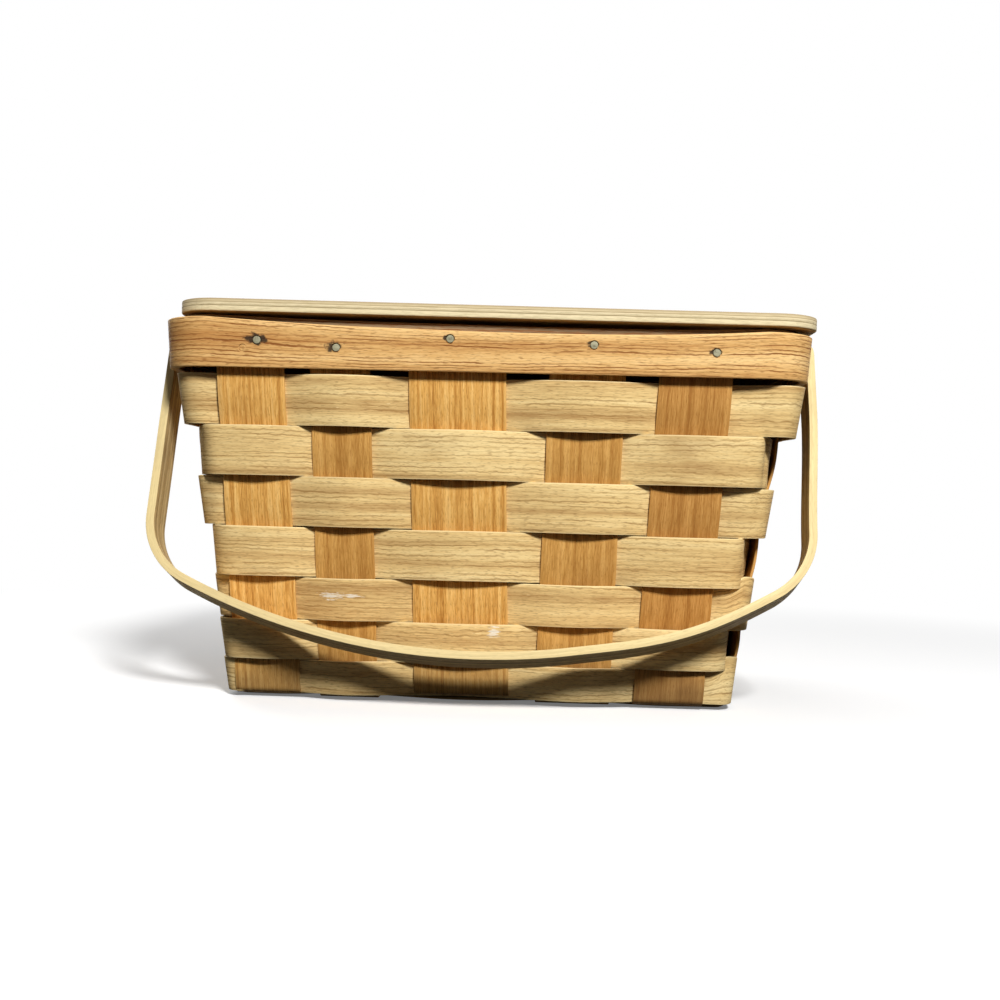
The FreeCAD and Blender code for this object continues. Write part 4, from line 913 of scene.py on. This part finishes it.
def handleShape(side):
    line = handleLine()
    walked = np.concatenate([[0], np.cumsum(np.hypot(*np.diff(line, axis=0).T))])
    tilt = math.radians(handle["tilt"]) * side

    def shape(run, across):
        walk = run * walked[-1]
        x = np.interp(walk, walked, line[:, 0])
        z = np.interp(walk, walked, line[:, 1])
        along = np.clip((x / mm - handle["sagFrom"]) / (handle["sagTo"] - handle["sagFrom"]), 0, 1)
        lean = smoothStep(handle["leanFrom"] * mm, handle["leanTo"] * mm, -z) * smoothStep(0, 1, along)
        x = x - handle["rightLean"] * mm * lean
        z = z - handle["rightSag"] * mm * np.sin(math.pi * along) ** 2
        fromEnd = np.minimum(walk, walked[-1] - walk) / (handle["endRound"] * mm)
        taper = np.sqrt(np.clip(1 - (1 - np.clip(fromEnd, 0, 1)) ** 2, 0.02, 1))
        y = across * handle["width"] * mm * taper + wander(run, 60 + side, handle["drift"] * mm, 7)
        upright = handle["pivotUp"] * mm + z * math.cos(tilt) + y * math.sin(tilt)
        outward = side * handle["pivotOut"] * mm + y * math.cos(tilt) - z * math.sin(tilt)
        points = np.column_stack([x, outward, upright])
        return points, np.column_stack([walk + side * handle["grainStep"], across * handle["width"] * mm])

    return shape


handleFinish = woodFinish("handleBentwood", handleLook)
for name, side in (("front_handle", -1), ("back_handle", 1)):
    band = gridPiece(name.replace("_h", "H"), *handle["steps"], handleShape(side))
    thicken(band, handle, 3)
    settle(band, name, "handle_wood", handleFinish, name)
print("handles bent: 2")

hingeFinish = metalFinish("hingeSteel", tone(150, 142, 124), tone(124, 114, 96), tone(92, 62, 42), 0.55, 0.4)
screwFinish = metalFinish("screwSteel", tone(138, 128, 108), tone(104, 94, 78), tone(84, 56, 38), 0.5, 0.42)
rivetFinish = metalFinish("rivetSteel", tone(132, 126, 112), tone(100, 92, 80), tone(84, 60, 42), 0.45, 0.42)

# pivots: low rivet heads outside the handles and small tails inside the rim
rivet = {
    "headSize": 6, "headTop": 4.4, "headHeight": 1.1, "headGap": 0.2,
    "tailSize": 4, "tailTop": 3, "tailHeight": 1.2, "rounding": 0.3,
}
rivetEnds = sorted(abs(vertex.co.x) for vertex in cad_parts["handle_rivets"].data.vertices)
heads, tails = [], []
for x in (-1, 1):
    for y in (-handle["pivotOut"], handle["pivotOut"]):
        way = Vector((x, 0, 0))
        heads.append((Vector((x * (handle["outerHalf"] + rivet["headGap"]), y, handle["pivotUp"])) * mm, way))
        inside = Vector((x * rivetEnds[0], y * mm, handle["pivotUp"] * mm))
        tails.append((inside + way * rivet["tailHeight"] * mm, -way))
rivetParts = []
for part, spots in (("head", heads), ("tail", tails)):
    size, top, high = (rivet[f"{part}{key}"] for key in ("Size", "Top", "Height"))
    rivetParts += copies(roundBar(part, size, top, high, high / 2, rivet["rounding"]), spots)
rivetSet = joinPieces("handleRivets", rivetParts)
settle(rivetSet, "basket", "rivet_steel", rivetFinish, "handle_rivets")

# hinges: a leaf on the rim's back and one under the lid, with barrels round a pin and slotted screws
hinge = {
    "leaf": 1.2, "barrel": 2.4, "gap": 0.3, "cornerRound": 2.4, "edgeRound": 0.25, "screwSpread": 17,
    "screwHead": 2.1, "screwTop": 1.5, "screwRise": 0.5, "screwRound": 0.15,
    "slotWidth": 0.5, "slotDepth": 0.35, "tabInset": 0.05,
}
hingeLeaf, hingeGap, barrelRadius = hinge["leaf"] * mm, hinge["gap"] * mm, hinge["barrel"] * mm


def roundCorners(piece, axis, sign):  # round a leaf's two free corners, on the side that axis and sign give
    across = max((vertex.co[axis] * sign) for vertex in piece.data.vertices) - 0.1 * mm
    thin = 3 - axis  # the leaf's thickness lies along y or z

    def freeCorner(one, two):
        return min(one[axis] * sign, two[axis] * sign) > across and abs(one[thin] - two[thin]) > 0.1 * mm

    bevelEdges(piece, freeCorner, hinge["cornerRound"], 6)


def hingeHalf(name, node, middleBarrels):
    low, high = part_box(node)
    axis = Vector((0, low.y + barrelRadius, high.z - barrelRadius))
    long = (high.x - low.x - 2 * hingeGap) / 3
    inset = hinge["tabInset"] * mm
    if middleBarrels:  # the lid's leaf lies flat and reaches back
        front = axis.y + barrelRadius + hingeGap
        plate = plainBox(name, Vector((low.x, front, high.z - hingeLeaf)), high)
        roundCorners(plate, 1, 1)
    else:  # the rim's leaf stands and reaches down
        top = axis.z - barrelRadius - hingeGap
        plate = plainBox(name, low, Vector((high.x, low.y + hingeLeaf, top)))
        roundCorners(plate, 2, -1)
    pieces = [plate]
    for third in ((1,) if middleBarrels else (0, 2)):
        start = low.x + third * (long + hingeGap)
        if middleBarrels:  # a tab joins leaf and barrel, a hair thinner so that no faces coincide
            tabLow = (start, axis.y, high.z - hingeLeaf + inset)
            tabHigh = (start + long, axis.y + 2 * barrelRadius, high.z - inset)
        else:
            tabLow = (start, low.y + inset, axis.z - 2 * barrelRadius)
            tabHigh = (start + long, low.y + hingeLeaf - inset, axis.z)
        pieces.append(plainBox("tab", Vector(tabLow), Vector(tabHigh)))
        barrel = roundBar("barrel", hinge["barrel"], hinge["barrel"], long / mm, 0)
        pieces += copies(barrel, [(Vector((start + long / 2, axis.y, axis.z)), Vector((1, 0, 0)))])
    leaf = joinPieces(name, pieces)
    easeEdges(leaf, hinge["edgeRound"], 2, 50)
    return leaf


screwPlaces = {"rim": [], "lid": []}
for side in ("left", "right"):
    rimLeaf = hingeHalf(f"{side}RimLeaf", f"hinge_rim_leaf_{side}", False)
    settle(rimLeaf, "basket", "hinge_steel", hingeFinish, f"hinge_rim_leaf_{side}")
    lidLeaf = hingeHalf(f"{side}LidLeaf", f"hinge_lid_leaf_{side}", True)
    settle(lidLeaf, "lid", "hinge_steel", hingeFinish, f"hinge_lid_leaf_{side}")
    rimLow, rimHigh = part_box(f"hinge_rim_leaf_{side}")
    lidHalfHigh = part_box(f"hinge_lid_leaf_{side}")[1]
    middle = (rimLow.x + rimHigh.x) / 2
    for apart in (-hinge["screwSpread"] / 2, hinge["screwSpread"] / 2):
        rimScrewZ = (rimLow.z + rimHigh.z - 2 * barrelRadius - hingeGap) / 2
        lidScrewY = (rimHigh.y + hingeGap + lidHalfHigh.y) / 2
        x = middle + apart * mm
        screwPlaces["rim"].append((Vector((x, rimLow.y + hingeLeaf, rimScrewZ)), Vector((0, 1, 0))))
        screwPlaces["lid"].append((Vector((x, lidScrewY, lidHalfHigh.z - hingeLeaf)), Vector((0, 0, -1))))
for place, body in (("rim", "basket"), ("lid", "lid")):
    high = hinge["screwRise"]
    screw = roundBar("screw", hinge["screwHead"], hinge["screwTop"], high, high / 2, hinge["screwRound"])
    slotHalf = Vector((2 * hinge["screwHead"], hinge["slotWidth"] / 2, hinge["slotDepth"])) * mm
    slotMiddle = Vector((0, 0, high)) * mm
    slot = plainBox("slot", slotMiddle - slotHalf, slotMiddle + slotHalf)
    modify(screw, "BOOLEAN", operation="DIFFERENCE", object=slot, solver="EXACT")
    bpy.data.objects.remove(slot)
    screws = joinPieces(f"{place}HingeScrews", copies(screw, screwPlaces[place]))
    settle(screws, body, "hinge_steel", screwFinish, f"hinge_{place}_screws")


def spacerFinish():
    finish = Finish("spacerWood")
    place = finish.place()
    rings = finish.noise(place, (60, 900, 900), 2.0)
    colour = finish.ramp(rings, [(0.3, tone(92, 60, 34)), (0.7, tone(138, 96, 58))])
    return finish.close(Base_Color=colour, Roughness=0.5, Normal=finish.bump(rings, 0.08 * mm))


# pins, burrs and spacers keep their own solids
keptFinishes = {"hinge": hingeFinish, "rivet_burrs": rivetFinish, "handle_spacers": spacerFinish()}
for nodeName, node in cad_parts.items():
    for start, finish in keptFinishes.items():
        if nodeName.startswith(start):
            node.data.materials.clear()
            node.data.materials.append(finish)
print("hinges and pivots finished")

# stage: white floor and background, a key lamp in front, above and to the right, and a soft lamp behind
stage = {
    "cameraPlace": (33.6, -790, 115), "cameraTurn": 2.0, "cameraRoll": 1.5, "lens": 45,
    "keyPlace": (0.44, -1.50, 1.17), "keySize": 0.36, "keyPower": 43,
    "backPlace": (-0.8, 1.3, 0.75), "backSize": 1.2, "backPower": 16, "fill": 0.13,
    "aim": (0, 0, 0.11), "sensor": 36,
    "floorSize": 12, "floorDrop": 0.2, "floorLift": 0.16, "floorNear": 0.3, "floorFar": 0.8,
    "floorColour": (0.9, 0.9, 0.9, 1), "floorBounce": (0.015, 0.015, 0.014, 1),
}


def floorFinish():
    # white where the camera sees it, greyer for the light that it throws back; far off it glows plain white
    finish = Finish("stageFloor")
    ray = finish.node("ShaderNodeLightPath")
    rays = ray.socket.node.outputs
    glossy, through = (Reading(finish, rays[f"Is {kind} Ray"]) for kind in ("Glossy", "Transmission"))
    seen = ray.larger(glossy).larger(through)
    x, y, _ = finish.parts(finish.place())
    far = finish.span(x * x + y * y, stage["floorNear"] ** 2, stage["floorFar"] ** 2)
    white = finish.mix(seen, (0, 0, 0, 1), (1, 1, 1, 1))
    colour = finish.mix(seen, stage["floorBounce"], stage["floorColour"])
    near = finish.node("ShaderNodeBsdfPrincipled", None, {
        "Base Color": colour, "Roughness": 0.9, "Specular IOR Level": 0.0,
        "Emission Color": white, "Emission Strength": stage["floorLift"],
    })
    glow = finish.node("ShaderNodeEmission", None, {"Color": white, "Strength": 1.0})
    mixed = finish.node("ShaderNodeMixShader", None, {0: far, 1: near, 2: glow})
    finish.node("ShaderNodeOutputMaterial", None, {0: mixed})
    return finish.owner


floorLevel = cadBounds[0].z - stage["floorDrop"] * mm
bpy.ops.mesh.primitive_plane_add(size=stage["floorSize"], location=(0, 0, floorLevel))
floor = bpy.context.object
floor.name = "stageFloor"
floor.data.materials.append(floorFinish())

studio = Finish("studio", bpy.data.worlds)
rays = studio.node("ShaderNodeLightPath").socket.node.outputs
seen = Reading(studio, rays["Is Camera Ray"]).larger(Reading(studio, rays["Is Glossy Ray"]))
strength = studio.node("ShaderNodeMapRange", None, {0: seen, 3: stage["fill"], 4: 1.0})
light = studio.node("ShaderNodeBackground", None, {"Color": (1, 1, 1, 1), "Strength": strength})
studio.node("ShaderNodeOutputWorld", None, {0: light})
bpy.context.scene.world = studio.owner

for name in ("key", "back"):
    bpy.ops.object.light_add(type="AREA", location=stage[f"{name}Place"])
    lamp = bpy.context.object
    lamp.name = f"{name}Lamp"
    lamp.data.shape = "DISK"
    lamp.data.size = stage[f"{name}Size"]
    lamp.data.energy = stage[f"{name}Power"]
    lamp.visible_camera = False
    lamp.rotation_euler = (Vector(stage["aim"]) - lamp.location).to_track_quat("-Z", "Y").to_euler()

bpy.ops.object.camera_add(location=Vector(stage["cameraPlace"]) * mm)
camera = bpy.context.object
level = Matrix.Rotation(math.radians(stage["cameraTurn"]), 4, "Z") @ Matrix.Rotation(math.radians(90), 4, "X")
rolled = level @ Matrix.Rotation(math.radians(stage["cameraRoll"]), 4, "Z")
camera.rotation_euler = rolled.to_euler()
camera.data.lens = stage["lens"]
camera.data.sensor_width = stage["sensor"]
bpy.context.scene.camera = camera
bpy.context.scene.view_settings.view_transform = "Standard"
print("stage set")
